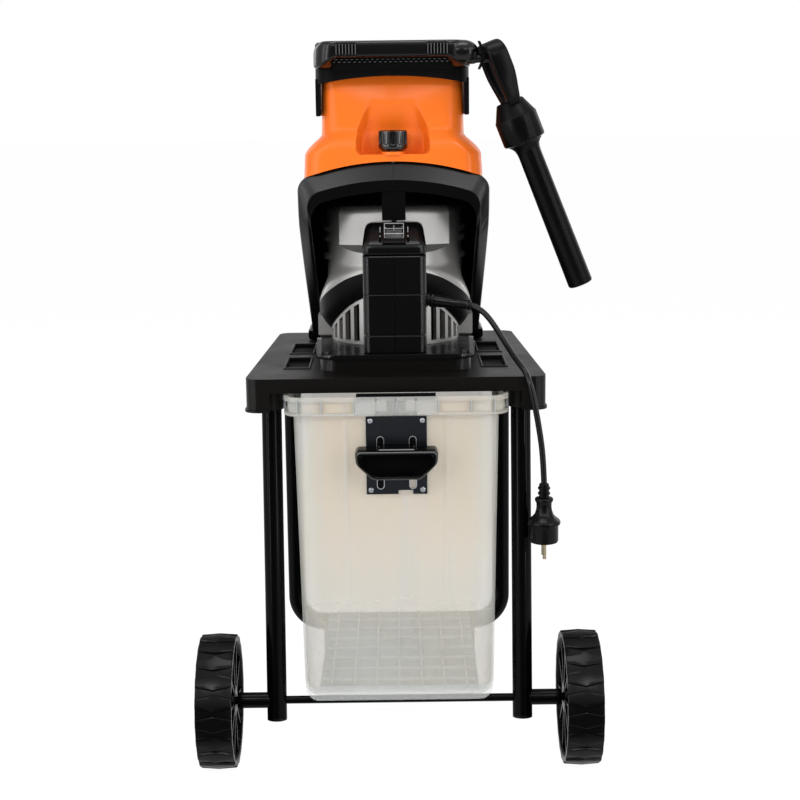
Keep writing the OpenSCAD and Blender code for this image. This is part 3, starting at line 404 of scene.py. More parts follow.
for side, name in SIDES:
    ribs = [moved(slab(2.5, 19, -1.6, 1.6, 19, 75), turn=turn_about("X", 360 / WHEEL_RIBS * i + 9))
            for i in range(WHEEL_RIBS)]
    flip = np.diag((side, 1, 1))
    parts = [moved(p, (side * WHEEL_IN, AXLE_Y, WHEEL_R), flip)
             for p in [loft(wheel_rings(), "loop")] + ribs]
    piece("wheel_tread_" + name, parts, wheel_plastic, name + "_wheel", "wheel_" + name,
          sharp=25)

# Base plate: one black moulding with deep corner skirts, shallow aprons, four pockets and the gear case;
# the frame's own solid with rounded edges. Steel runners for the box are screwed underneath.
plate_plastic = finish("plate_plastic", "#0c0a09", "#070605", 0.36, 0.48, cloud=14, grain=700, depth=0.03,
                       specular=0.06, side_sheen=0.2, Coat_Roughness=0.25)
dress(plate_plastic, "base_plate", round_by=2.5)
POCKET_W = 14.0
POCKET_LEN = 83.0
POCKETS = [(s * 126.0, y) for s in (-1, 1) for y in (-76.0, 47.0)]


def pocket_frame(x, y0, y1):
    """Raised frame round one pocket of the plate, eased at both edges."""
    rows = [(3.5, -0.4), (3.2, 0.9), (2.4, 1.6), (1.2, 1.6), (0.4, 0.9), (0, -3.4)]
    half = np.array((POCKET_W, (y1 - y0) / 2))
    return loft([np.c_[SQUARE * (half + d) + (x, (y0 + y1) / 2), np.full(4, PLATE_Z + z)] for d, z in rows],
                "loop")


piece("pocket_frames", [pocket_frame(x, y, y + POCKET_LEN) for x, y in POCKETS], plate_plastic, "base",
      sharp=20)
# Painted shade: near-black sheets laid on the pocket floors, which would otherwise show lit.
shade_black = finish("shade_black", "#040404", "#020202", 0.5, 0.7, specular=0.02)
pocket_shade = [slab(x - POCKET_W + 0.1, x + POCKET_W - 0.1, y + 0.1, y + POCKET_LEN - 0.1, PLATE_Z - 4.6,
               PLATE_Z - 3.6, 0.1) for x, y in POCKETS]
piece("pocket_shade_sheets", pocket_shade, shade_black, "base")
zinc = finish("zinc_steel", "#b9bcc0", "#8f9297", 0.22, 0.4, cloud=120, Metallic=1.0)
black_plastic = finish("black_plastic", "#0c0c0d", "#070708", 0.22, 0.32, cloud=22, grain=1400, depth=0.02,
                       specular=0.03, side_sheen=0.6)
dark_steel = finish("dark_steel", "#4a4a4c", "#333335", 0.3, 0.45, cloud=120, Metallic=1.0)
dress(zinc, "box_runners", "hinge_pins", "counter_blade")
dress(dark_steel, "flange_screws", "hood_screws")
dress(black_plastic, "hinge_brackets", "interlock_switch", round_by=0.6)

# Motor inside: sheet can, laminated stator, wound armature, pinion and fan, seen only through the vents.
copper = finish("copper_winding", "#b0713a", "#7c4a22", 0.3, 0.45, cloud=150, Metallic=1.0)
core_steel = finish("core_steel", "#77797d", "#55575b", 0.3, 0.5, cloud=90, Metallic=1.0)
dress(core_steel, "motor_can", "stator", "motor_bearings", "spindle_bearings", "motor_pinion", "spindle_gear",
      "spindle", "cutting_disc", "blade_screws", "lock_screw", "lock_washer")
dress(copper, "armature")
dress(zinc, "cutting_blades", round_by=0.3)
dress(black_cap, "cooling_fan")
dress(black_plastic, "motor_flange", round_by=2.0)

# Flange clips: upright snap hooks at both near corners of the flange, in a pale grey that paints the light on
# them.
FLANGE_Z = PLATE_Z + 21
CLIP_X = 93.5
clips = []
for s in (-1, 1):
    for near, wide, high in ((-99, 5.0, 21), (-90, 7.0, 14), (-80, 5.0, 19)):
        x = sorted((s * CLIP_X, s * (CLIP_X + wide)))
        clips.append(slab(*x, near, near + 5, FLANGE_Z - 0.5, FLANGE_Z + high, 0.8))
# Painted light: the clips' pale grey stands for the light falling on them.
lit_clip_grey = finish("lit_clip_grey", "#4c4c4e", "#38383a", 0.24, 0.34, cloud=40)
piece("flange_clips", clips, lit_clip_grey, "base")

# Motor housing: a glossy grey moulding. A front flat in two facets sits above a sloping ledge, the wall
# flares to a black belly that turns in over the vented drum, higher in front than at the sides.
MOTOR_Y = 58.0
MOTOR_R = 90.0
MOTOR_H = 180.0
DRUM_R = 86.0
FACET_R = 73.7
LEDGE_H = 129.0
FIN_OUT = 4.6
VENTS = (25, 36, 46.5, 57, 67.5, 78)
VENT_HALF = 2.6
VENT_DEEP = 14.0
grey_gloss = finish("motor_grey", "#9a9997", "#8b8a88", 0.32, 0.42, cloud=12, grain=900, depth=0.008,
                    Metallic=0.65)


def ease_in(x):
    """0 below 0, 1 above 1 and a smooth S between."""
    x = np.clip(x, 0, 1)
    return x * x * (3 - 2 * x)


def motor_rings(columns=360):
    """Rings about the motor axis. At angle t from the front the belly lies between its lower height low and
    its upper height high, where it has the radius brow and from where it turns in with the square of the way
    down; the flat keeps radius flat and slots sink the drum."""
    t = np.linspace(-180, 180, columns, endpoint=False)
    off = np.abs(t)

    def run_of(angles, heights):
        """Heights over the flange by angle, averaged over 13 columns."""
        run = FLANGE_Z + np.interp(off, angles, heights)
        return np.convolve(np.r_[run[-6:], run, run[:6]], np.ones(13) / 13, "valid")

    low = run_of((0, 22, 26, 40, 52, 61, 70, 80, 90, 180), (69, 66, 64, 54, 42, 33, 25, 17, 12, 11))
    high = run_of((0, 26, 43, 53, 63, 73, 90, 180), (99, 96, 86, 76, 67, 57, 43, 42))
    flat = np.minimum(MOTOR_R, FACET_R / np.cos(np.radians(np.minimum(np.abs(off - 18), 80))))
    flat = np.where(off > 53, MOTOR_R, flat)
    slot = np.any([np.abs(off - a) <= VENT_HALF for a in VENTS], axis=0)
    drum = np.full(columns, DRUM_R)
    sunk = drum - np.where(slot, VENT_DEEP, 0.0)
    fin = FIN_OUT * ease_in((off - 66) / 14) * ease_in((112 - off) / 10)
    fin_rows = ((0, 0), (1.5, 1), (6, 1), (9.5, 0))
    top = FLANGE_Z + MOTOR_H
    ledge = FLANGE_Z + LEDGE_H - 0.55 * (MOTOR_R - flat)
    brow = 92.5 + 9.3 * ease_in((off - 18) / 56)
    rise = np.minimum(40, FLANGE_Z + 106 - high)
    rows = [(drum, FLANGE_Z), (drum, FLANGE_Z + 4), (sunk, FLANGE_Z + 4.5), (sunk, low - 5.5),
            (drum, low - 5), (drum, low - 0.5)]
    rows += [(brow - (brow - 87) * (1 - s) ** 2, low + (high - low - 2) * s)
             for s in (0, 0.14, 0.28, 0.45, 0.62, 0.8, 1)]
    rows += [(brow, high - 0.6), (brow - 0.1, high + 0.5)]
    rows += [(MOTOR_R + (brow - MOTOR_R - 0.1) * (1 - ease_in(s)), high + 0.7 + (rise - 1) * s)
             for s in np.linspace(0.06, 0.96, 12)]
    rows += [(MOTOR_R + fin * d, FLANGE_Z + 107 + z) for z, d in fin_rows]
    rows += [(MOTOR_R, ledge - 1), (MOTOR_R, ledge), (flat, FLANGE_Z + LEDGE_H + 0.5)]
    rows += [(flat + fin * d, FLANGE_Z + z + q) for q in (131, 144) for z, d in fin_rows]
    rows += [(flat, top - 20), (flat, top - 12)]
    rows += [(flat - 9 * (1 - math.cos(s)), top - 12 + 12 * math.sin(s))
             for s in np.radians((15, 35, 55, 75, 90))]
    rows += [(0.5 * flat, top)]
    return [polar(r, np.radians(t - 90), z, MOTOR_Y) for r, z in rows]


motor = motor_rings()
shoulders = [slab(x - 10.5, x + 10.5, 62, 120, FLANGE_Z - 0.5, FLANGE_Z + 32, 3) for x in (-94, 94)]
piece("motor_cover", [loft(motor[:7]), loft(motor[13:])] + shoulders, grey_gloss, "base",
      "motor_housing", sharp=32)
belly_plastic = finish("belly_plastic", "#0c0c0d", "#070708", 0.34, 0.46, cloud=12, grain=900, depth=0.01,
                       specular=0.06)
piece("motor_belly", [loft(motor[6:14])], belly_plastic, "base", sharp=32)
# Painted shade: a near-black ring inside the drum, so that the vent slots look dark.
vent_shade = turned([(79, 3), (80, 3.6), (80, 62), (79, 62.6)], 96)
piece("vent_shade_sheet", [moved(vent_shade, (0, MOTOR_Y, FLANGE_Z))], shade_black, "base")

# Switch box: two upright half shells and a sloped cap, screwed together from behind, in fine-grained
# black plastic with rounded corners and thin seams.
SWITCH_W = 40.0
SWITCH_Y0 = -96.0
SWITCH_Y1 = -24.0


def half_ring(w, y0, y1, r, z, side, gap=0.25, steps=9):
    """Half of a rounded rectangle from the seam at x = gap round to the same seam at the back."""
    a = np.linspace(0, np.pi / 2, steps)
    x = np.concatenate([[gap, w * 0.5], w - r + r * np.sin(a), w - r + r * np.cos(a), [w * 0.5, gap]])
    y = np.concatenate([[y0, y0], y0 + r - r * np.cos(a), y1 - r + r * np.sin(a), [y1, y1]])
    return np.stack([side * x, y, np.full(len(x), z)], -1)


switch_plastic = finish("switch_plastic", "#080809", "#050506", 0.2, 0.3, cloud=25, grain=1800, depth=0.02,
                        specular=0.03, side_sheen=0.4)
for side, name in SIDES:
    levels = [(0, 1.0), (1, 0), (21.6, 0), (23, 1.1), (24.2, 1.1), (24.6, 0), (74, 0), (74.4, 0.35),
              (74.9, 0.35), (75.3, 0), (122, 0), (123.4, 1.2)]
    rings = [half_ring(SWITCH_W - d, SWITCH_Y0 + d, SWITCH_Y1 - d, 10 - d, FLANGE_Z + z, side)
             for z, d in levels]
    piece("switch_shell_" + name, [loft(rings)], switch_plastic, "base", replaced="switch_box_" + name,
          sharp=30)


def plan_ring(w, y0, y1, r, front=9, sides=9, steps=6):
    """Rounded rectangle from above, anticlockwise from the left end of the front edge."""
    a = np.linspace(0, np.pi / 2, steps + 2)[1:-1]
    s, c = np.sin(a), np.cos(a)
    f = np.linspace(-1, 1, front)
    along = np.linspace(y0 + r, y1 - r, sides)
    x = [f * (w - r), w - r + r * s, np.full(sides, w), w - r + r * c, -f * (w - r), r - w - r * s,
         np.full(sides, -w), r - w - r * c]
    y = [np.full(front, y0), y0 + r - r * c, along, y1 - r + r * s, np.full(front, y1), y1 - r + r * c,
         along[::-1], y0 + r - r * s]
    return np.stack([np.concatenate(x), np.concatenate(y)], -1)


def level(ring, z):
    """A plan ring lifted to one height or to a height for each of its points."""
    return np.c_[ring, np.broadcast_to(z, len(ring))]


cap = [(124.6, 1.2, 1.2, 8.8), (125.4, 0.2, 0.2, 9.8), (127, -0.4, -0.4, 10), (132, 0, 0, 10),
       (135, 0, 0.6, 10), (137.6, 0.2, 1.9, 10), (139.8, 0.4, 4, 10), (141.8, 0.7, 6.6, 10),
       (154, 2.6, 22.5, 10), (158, 4, 28, 10), (160.4, 6, 31.7, 10), (162, 10, 36, 10)]
cap_rings = [level(plan_ring(SWITCH_W - d, SWITCH_Y0 + y, SWITCH_Y1 - d, r, steps=9), FLANGE_Z + z)
             for z, d, y, r in cap]
ROCKER_AT = (0, -79, FLANGE_Z + 150)
GUARD_X = 17.5
COVER_X = (-12, 12)
COVER_Y = (-11, 9)
COVER_Z = (3, 9.2)
tip = turn_about("X", 35)
guards = [moved(slab(x - 1.3, x + 1.3, -13, 12, -2, 5.5, 0.8), ROCKER_AT, tip) for x in (-GUARD_X, GUARD_X)]
piece("switch_top", [loft(cap_rings)] + guards, switch_plastic, "base", replaced="switch_cap", sharp=40)
rocker_plastic = finish("rocker_plastic", "#1c1c1e", "#101011", 0.16, 0.24, cloud=60, specular=0.4)
dress(rocker_plastic, "switch_rocker", round_by=0.6)
dress(switch_plastic, "switch_bezel", round_by=0.6)
# Painted glints: the clear cover over the rocker and the tops of its guards are drawn as thin pale grey bars.
cover_glint_grey = finish("cover_glint_grey", "#b4b6b8", "#8e9092", 0.16, 0.24, cloud=80)


def wire(x, y, z, half=0.4):
    """Thin bar between two ends, each given as a pair, or about one place where a single value is given."""
    spans = [v if isinstance(v, tuple) else (v - half, v + half) for v in (x, y, z)]
    return slab(*spans[0], *spans[1], *spans[2], 0.1)


bars = [wire(x, COVER_Y, z) for x in COVER_X for z in COVER_Z]
bars += [wire(COVER_X, y, z) for y in COVER_Y for z in COVER_Z]
bars += [wire(x, y, COVER_Z) for x in COVER_X for y in COVER_Y]
bars += [wire(COVER_X, -1.0, (9, 9.5), 0.3), wire(0, (-6, 5), (9, 9.5), 0.3)]
bars += [wire(x, y, (5.3, 6.1), 0.45) for x in (-GUARD_X, GUARD_X) for y in ((-12.8, -10.4), (-4, 6))]
piece("rocker_cover", [moved(b, ROCKER_AT, tip) for b in bars], cover_glint_grey, "base")

# Cable boot: a tapered rubber sleeve with two grooves at the wall and a ring at its end.
BOOT_FROM = np.array((SWITCH_W, -62.0, FLANGE_Z + 64))
boot_run = CORD_ROUTE[0] - BOOT_FROM
boot_len = float(np.linalg.norm(boot_run))
boot_profile = [(8.8, 0.0), (9, 0.6), (9, 2.6), (8.4, 3.2), (7.4, 3.5), (7.4, 4.9), (8.3, 5.3), (8.6, 6),
                (8.6, 7.6), (8, 8.2), (7.1, 8.5), (7.1, 9.8), (8.1, 10.3), (8.1, 11.5), (7.6, 20), (6.6, 38),
                (5.6, boot_len - 4.4), (6, boot_len - 3.6), (6.6, boot_len - 3), (6.6, boot_len - 0.9),
                (5.8, boot_len)]
lean = math.degrees(math.acos(boot_run[2] / boot_len))
piece("cable_sleeve", [moved(turned(boot_profile, 40), BOOT_FROM, turn_about("Y", lean))], rubber, "base",
      replaced="cable_boot", sharp=40)

# Hood: two black half shells that meet on the centre line. The front lip is deepest at the crown, with a
# broad bevel along its outer edge that narrows down both wings.
HOOD_W = 122.0
HOOD_Y0 = -60.0
HOOD_Y1 = 236.0
HOOD_TOP = PLATE_Z + 260
CROWN_R = 335.0
SHOULDER_R = 20.0
WING_Z = PLATE_Z + 185
WING_Y = 165.0
HOOD_FOOT = PLATE_Z + 1
HOOD_LEAN = 4.5
HOOD_WALL = 5.0


def shoulder(dx=0.0, dz=0.0, r=SHOULDER_R):
    """Corner of an arch dx inside the hood's sides and dz under its crown: the x and z of its middle, and the
    height of the crown's own middle."""
    c = HOOD_W - dx - r
    z0 = HOOD_TOP - dz - CROWN_R
    return c, z0 + math.sqrt((CROWN_R - r) ** 2 - c * c), z0


def arch_half(dx=0.0, dz=0.0, r=SHOULDER_R, n_side=16, n_corner=14, n_crown=24):
    """Right half of an arch dx inside the hood's sides and dz under its crown, in X and Z: from the foot up
    the side, round a corner of radius r and along the crown to the middle."""
    c, turn_z, z0 = shoulder(dx, dz, r)
    end = math.atan2(turn_z - z0, c)
    a = np.linspace(0, end, n_corner)
    b = np.linspace(end, np.pi / 2, n_crown)[1:]
    side = np.linspace(HOOD_FOOT, turn_z, n_side)[:-1]
    x = np.concatenate([np.full(n_side - 1, HOOD_W - dx), c + r * np.cos(a), CROWN_R * np.cos(b)])
    z = np.concatenate([side, turn_z + r * np.sin(a), z0 + CROWN_R * np.sin(b)])
    x = x - HOOD_LEAN * np.clip((WING_Z + 30 - z) / (WING_Z - HOOD_FOOT), 0, 1) * (x > 1)
    x[-1] = 0.2
    return np.stack([x, z], -1)


def upright(ring, y, side=1):
    """An outline in X and Z at one depth, or at a depth for each point, mirrored for the left side."""
    return np.stack([side * ring[:, 0], np.broadcast_to(y, len(ring)), ring[:, 1]], -1)


def hood_half(side):
    """Closed shell: rows of arches from the far edge along the outside, over the bevel and the lip, and back
    along the inside. The front edge of each row runs back along the wings."""
    rows = [(0, 0, 20, None, 0), (0, 0, 20, None, 40), (0, 0, 20, 40, 0), (0, 0, 20, 12, 0),
            (0.2, 0.3, 20, 9.4, 0), (1.2, 1.8, 20, 7.6, 0), (10, 20.5, 22, 0.9, 0), (12, 23, 22.5, 0, 0),
            (15.2, 37, 24, 0, 0), (16, 38, 24, 1, 0), (16, 38, 24, 8, 0), (14.5, 36.5, 24, 9.5, 0),
            (7, 7, 20, 11, 0), (5, 5, 18, 14, 0), (5, 5, 18, None, 40), (5, 5, 18, None, 5)]
    rings = []
    for dx, dz, r, after, before in rows:
        p = arch_half(dx, dz, r)
        back = np.clip((WING_Z - p[:, 1]) / (WING_Z - HOOD_FOOT), 0, 1) ** 1.1
        front = HOOD_Y0 + (WING_Y - HOOD_Y0) * back
        y = np.full(len(p), HOOD_Y1 - before) if after is None else front + after
        rings.append(upright(p, y, side))
    return loft(np.swapaxes(np.array(rings), 0, 1))


hood_plastic = finish("hood_plastic", "#09090a", "#060607", 0.3, 0.4, cloud=16, grain=1200, depth=0.02,
                      specular=0.02, side_sheen=0.6)


def rear_wall(side):
    """Closed far wall of the hood inside its outline."""
    q = arch_half(3, 3)
    edge = np.concatenate([q, [(0.2, HOOD_FOOT)]])
    return loft([upright(edge, y, side) for y in (HOOD_Y1 - HOOD_WALL, HOOD_Y1 - 0.4)])


for side, name in SIDES:
    tab_x = sorted((side * 0.2, side * 15))
    tab = slab(*tab_x, -58.5, -38, WING_Z + 1, HOOD_TOP - 30, 0.8)
    lugs = [slab(side * 70 - 8.5, side * 70 + 8.5, 234, 248, PLATE_Z + 1.6, PLATE_Z + 12.4, 1.2),
            slab(side * 116 - 8, side * 116 + 8, 168, 230, PLATE_Z + 1, PLATE_Z + 17, 3)]
    piece("hood_shell_" + name, [hood_half(side), rear_wall(side), tab] + lugs, hood_plastic, "hopper_unit",
          replaced="hood_" + name, sharp=14)

# Hopper: the orange moulding on the hood. Its front is a shallow scoop that deepens into the recess of
# the lock knob, and its shoulders flare out to the hood.
orange_plastic = finish("orange_plastic", "#f47622", "#ee6c1a", 0.26, 0.36, cloud=10, grain=1100, depth=0.015,
                        specular=0.24)
SHELF_Z = HOOD_TOP + 9
HOPPER_TOP = HOOD_TOP + 128
HOPPER_WALL = 3.5
HOPPER_MID = np.array((0, 88.0))
RECESS_D = 26.0
RECESS_HALF = 51.5
RECESS_TAPER = 16.0
RECESS_WALL = 13.0
RECESS_CORNER = 7.0
BOWL_Z = SHELF_Z + 61
LOCK_Y = -49.0


def hood_height(x):
    """Height of the hood's outline over x."""
    c, turn_z, z0 = shoulder()
    x = np.abs(x)
    crown = z0 + np.sqrt(CROWN_R ** 2 - x ** 2)
    corner = turn_z + np.sqrt(np.maximum(SHOULDER_R ** 2 - np.maximum(x - c, 0) ** 2, 0))
    return np.where(x > c * CROWN_R / (CROWN_R - SHOULDER_R), corner, crown)


def ramp(x, soft):
    """0 for x well below 0 and x well above it, rounded over the soft length."""
    return 0.5 * (x + np.sqrt(x * x + soft * soft))


def scoop(x, z):
    """Depth of the front below its plane: a recess with steep side walls, rounded lower corners and a back
    that leans forward, drawn in towards the top, and over it a shallow bowl that deepens towards the mouth
    and the middle."""
    foot = np.clip((SHELF_Z + RECESS_CORNER - z) / RECESS_CORNER, 0, 1)
    corner = RECESS_CORNER * (1 - np.sqrt(np.maximum(1 - foot ** 2, 0)))
    back = RECESS_D - 0.42 * ramp(z - SHELF_Z - 8, 10)
    reach = RECESS_HALF - RECESS_TAPER * ease_in((z - SHELF_Z - 8) / 66)
    t = np.clip((np.abs(x) - reach + RECESS_WALL + corner) / RECESS_WALL, 0, 1)
    recess = np.maximum(back, 0) * (1 - ease_in(t))
    bowl = 0.25 * ramp(z - BOWL_Z - 0.55 * (np.sqrt(x * x + 400) - 38), 12)
    return np.where(z > SHELF_Z, bowl + ramp(recess - bowl, 4) * ease_in(recess / 5), 0)


FLARE = np.array([(-20, 114, -60), (6, 113, -60), (10, 111.6, -60), (14, 109.4, -60), (18, 106, -59.7),
                  (22, 102, -59), (26, 97.6, -57.8), (29, 94, -56.5), (31.5, 91.6, -55.2), (33, 90.7, -54.4),
                  (35, 90.3, -53.2), (39, 90.2, -50.9), (41, 90.2, -50.2), (44, 90.1, -50), (128, 89, -50)])


def hopper_ring(z):
    """One level of the hopper, with the front run pushed in by the scoop."""
    w, front = (np.interp(z - HOOD_TOP, FLARE[:, 0], FLARE[:, i]) for i in (1, 2))
    ring = plan_ring(w, front, HOOD_Y1, 24, front=181, sides=13, steps=12)
    near = np.r_[0:193, len(ring) - 12:len(ring)]
    cut = front - FLARE[-1, 2] + scoop(ring[near, 0], z)
    ring[near, 1] = np.maximum(ring[near, 1], FLARE[-1, 2] + np.where(cut > 0.3, cut, -99))
    return level(ring, float(z))


def hopper_skin():
    """Loop of levels: from the hood up the outside, over the top edge and down the inside."""
    foot = hopper_ring(HOOD_TOP - 10)
    foot[:, 2] = hood_height(foot[:, 0]) + 0.25
    brim = hopper_ring(SHELF_Z - 0.05)
    brim[:, 2] = np.maximum(brim[:, 2], foot[:, 2] + 0.3)
    steps = [0.05, 0.5, 1.2, 2.2, 3.4, 5, 7, 9, 11, 13, 15, 17, 19, 20.5, 22, 23, 24, 25, 26, 28]
    steps += list(range(31, 108, 3)) + [119]
    outer = [foot, (foot + brim) / 2, brim] + [hopper_ring(SHELF_Z + d) for d in steps]
    inner = []
    for ring in outer[::-1]:
        away = ring[:, :2] - HOPPER_MID
        inner.append(np.c_[ring[:, :2] - HOPPER_WALL * away / np.hypot(*away.T)[:, None], ring[:, 2]])
    return loft(outer + inner, "loop")


seat = loft([level(plan_ring(r, LOCK_Y - r, LOCK_Y + r, r, front=3, sides=3, steps=10), SHELF_Z + z)
             for r, z in ((15.4, -1), (15.4, 3), (14.9, 3.5), (14.6, 3.5), (14.3, 3), (14.3, -1))], "loop")
piece("hopper_shell", [hopper_skin(), seat], orange_plastic, "hopper_unit", "hopper",
      sharp=30)
chute_plastic = finish("chute_plastic", "#0d0d0e", "#080809", 0.35, 0.5, cloud=18, specular=0.08)
dress(chute_plastic, "feed_chute")

# Lock knob: black, twelve deep flutes over a flared foot ring, on its steel washer and screw.
FLUTES = 12
KNOB_Z = SHELF_Z + 4.4


def knob_rings(columns=144):
    """Rings about the screw: a round flared foot, then a body whose radius dips twelve times a turn."""
    a = full_turn(columns)
    flute = 2.4 * ease_in((0.5 + 0.5 * np.cos(FLUTES * a) - 0.25) / 0.5)
    rows = [(12.5, 0, 0), (15.6, 0.6, 0), (17.6, 2.4, 0), (18.7, 5, 0), (18.7, 7, 0), (18.6, 8, 0.3),
            (18.5, 8.8, 1), (18.5, 23, 1), (18.1, 24.4, 0.95), (16, 25.3, 0.7), (14, 25.6, 0.2), (8, 25.6, 0),
            (7, 25, 0), (2, 24.8, 0)]
    return [polar(r - f * flute, a, KNOB_Z + z, LOCK_Y) for r, z, f in rows]


knob_plastic = finish("knob_plastic", "#0c0c0d", "#070708", 0.1, 0.16, cloud=60, specular=0.1, side_sheen=1)
shank = [(2.6, -88), (3.2, -87), (3.2, 0), (6, 0.2), (6, 6)]
piece("lock_shank", [moved(turned(shank, 32), (0, LOCK_Y, KNOB_Z - 6))], dark_steel, "lock",
      "lock_screw")
piece("knob_fluted", [loft(knob_rings())], knob_plastic, "lock", replaced="lock_knob", sharp=40)

# Collar and handle: one black moulding round the mouth, with a carrying bar in front on two arms, grip
# ribs on the bar and a notched strip behind it.
COLLAR_W = 96.5
COLLAR_Y0 = -66.0
COLLAR_Y1 = 240.0
COLLAR_TOP = HOPPER_TOP + 20
BAR_Y0 = -112.0
BAR_Z0 = HOPPER_TOP
BAR_HALF = 11.0
BAR_TURN = 28.0
ARM_X = 82.0
GRIP_RIBS = [s * (44 + 3.9 * i) for s in (-1, 1) for i in range(7)]


def collar_rings():
    """Loop of levels round the mouth: the lower edge arches over the middle of the front."""
    outer, ease, mouth, round_in, seat = (plan_ring(w, y0, y1, r, front=41, sides=21) for w, y0, y1, r in (
        (COLLAR_W, COLLAR_Y0, COLLAR_Y1, 26), (COLLAR_W - 2.5, COLLAR_Y0 + 2.5, COLLAR_Y1 - 2.5, 24),
        (84, -52, 229, 18), (86, -54, 231, 19), (89.7, -59.5, 236.4, 24.3)))
    arch = HOPPER_TOP - 31 + 9 * (1 - np.clip(np.abs(outer[:, 0]) / 92, 0, 1) ** 2)
    arch = np.where(outer[:, 1] > -30, HOPPER_TOP - 27, arch)
    return [level(ring, z) for ring, z in (
        (seat, arch + 0.8), (outer, arch), (outer, COLLAR_TOP - 2.8), (ease, COLLAR_TOP),
        (round_in, COLLAR_TOP), (mouth, COLLAR_TOP - 2), (mouth, BAR_Z0 + 0.3), (seat, BAR_Z0 + 0.3))]


def unit(rows):
    """The rows, each scaled to length 1."""
    return rows / np.linalg.norm(rows, axis=1)[:, None]


def handle_bar():
    """Sweep along a U of arm, corner, bar, corner and arm. The section is a rounded slab whose underside
    drops on the corners, and thin ribs stand out in two groups on the bar."""
    mid = COLLAR_W - BAR_HALF
    xs = {-67.0, 67.0, 0.0, -30.0, 30.0} | {x + d for x in GRIP_RIBS for d in (-1.5, -0.5, 0.5, 1.5)}
    xs = np.array(sorted(xs))
    rib = np.min(np.abs(xs[:, None] - GRIP_RIBS), axis=1) < 0.7
    a = np.radians(np.linspace(180, 270, 11))
    rc = BAR_TURN - BAR_HALF
    left = np.stack([-mid + rc + rc * np.cos(a), BAR_Y0 + BAR_TURN + rc * np.sin(a)], -1)
    left = np.concatenate([[(-mid, -40.0), (-mid, -62.0)], left])
    bar = np.stack([xs, np.full(len(xs), BAR_Y0 + BAR_HALF)], -1)
    path = np.concatenate([left, bar, left[::-1] * (-1, 1)])
    swell = np.pad(np.where(rib, 1.7, 0.0), len(left))
    run = unit(np.gradient(path, axis=0))
    out = np.stack([run[:, 1], -run[:, 0]], -1)
    drop = 13 * ease_in((np.abs(path[:, 0]) - 66) / 16) * ease_in((path[:, 1] + 125) / 40)
    s = np.radians([0, 30, 60, 90])
    turn = list(zip(np.cos(s), np.sin(s)))
    half, low, high = BAR_HALF, BAR_Z0, COLLAR_TOP
    section = [(half - 6 + 6 * c, high - 6 + 6 * d, 1) for c, d in turn]
    section += [(-half + 4 - 4 * d, high - 4 + 4 * c, 1) for c, d in turn]
    section += [(-half + 4 - 4 * c, low + 4 - 4 * d, 0) for c, d in turn]
    section += [(half - 4 + 4 * d, low + 4 - 4 * c, 0) for c, d in turn]
    rings = []
    for u, z, upper in section:
        q = path + out * (u * (1 + swell / BAR_HALF))[:, None]
        height = np.where(upper, z, z - drop)
        height = np.minimum(height + (height > BAR_Z0 + 10) * swell * 0.6, COLLAR_TOP)
        fall = np.clip((np.abs(q[:, 0]) - ARM_X) / (COLLAR_W - ARM_X), 0, 1) ** 2
        rings.append(np.c_[q, height - 9 * fall * (height > BAR_Z0 + 6)])
    return loft(np.swapaxes(np.array(rings), 0, 1))


handle_plastic = finish("handle_plastic", "#0d0d0e", "#080809", 0.2, 0.3, cloud=20, grain=1300, depth=0.02,
                        specular=0.04, side_sheen=0.45)
notches = [slab(x, x + 3.6, COLLAR_Y0 - 3.2, COLLAR_Y0 + 1, BAR_Z0 - 5, BAR_Z0 - 1.6, 0.3)
           for x in -77 + 6.4 * np.arange(24)]
strip = slab(-78, 78, COLLAR_Y0 - 2, COLLAR_Y0 + 2, BAR_Z0 - 15, BAR_Z0 - 4.5, 0.6)
skirts = []
for s in (-1, 1):
    x = sorted((s * 90.6, s * COLLAR_W))
    skirts.append(slab(*x, -50, 10, HOPPER_TOP - 71, HOPPER_TOP - 24, 1.2))
lobe = [(14.6 * (1 - abs((x - 86) / 20.4) ** 2.2) ** 0.5, x) for x in np.linspace(66, 106, 31)]
knuckle = moved(turned(lobe, 48), (0, -98, COLLAR_TOP - 14.8), turn_about("Y", 90))
# Painted highlights: light grey crests along the grip ribs stand for the light lines they catch.
rib_glint_grey = finish("rib_glint_paint", "#5c5c5e", "#3a3a3c", 0.24, 0.34, cloud=60)
crests = [slab(x - 0.45, x + 0.45, BAR_Y0 - 2.1, BAR_Y0 + 2, BAR_Z0 + 3.4, COLLAR_TOP - 4.2, 0.3)
          for x in GRIP_RIBS]
piece("grip_ribs", crests, rib_glint_grey, "hopper_unit")
collar_plastic = finish("collar_plastic", "#080809", "#050506", 0.36, 0.5, cloud=20, grain=1300, depth=0.03,
                        specular=0.05)
piece("mouth_collar", [loft(collar_rings(), "loop")], collar_plastic, "hopper_unit", replaced="top_collar")
piece("carrying_handle", [handle_bar(), strip, knuckle] + notches + skirts, handle_plastic, "hopper_unit")
PEG_Z = COLLAR_TOP - 23
PEG_Y = -100.0
HOOK_HALF = 17.0
neck = [(6.5, 92), (6.5, 100), (5.4, 103), (5, 106), (5, 130.5), (4.4, 132.6), (3, 133.5)]
hook = []
for z in np.linspace(-HOOK_HALF, HOOK_HALF, 15):
    mid = np.array((109 + 3.4 * math.cos(z / HOOK_HALF * 2.4), PEG_Y))
    hook.append(np.c_[mid + SQUARE * (1.3 + 0.9 * math.cos(z / HOOK_HALF * 1.4), 5), np.full(4, z)])
peg = [moved(turned(neck, 32), (0, PEG_Y, PEG_Z), turn_about("Y", 90)), moved(loft(hook), (0, 0, PEG_Z + 4))]
piece("plunger_hook", peg, handle_plastic, "hopper_unit", replaced="plunger_peg")

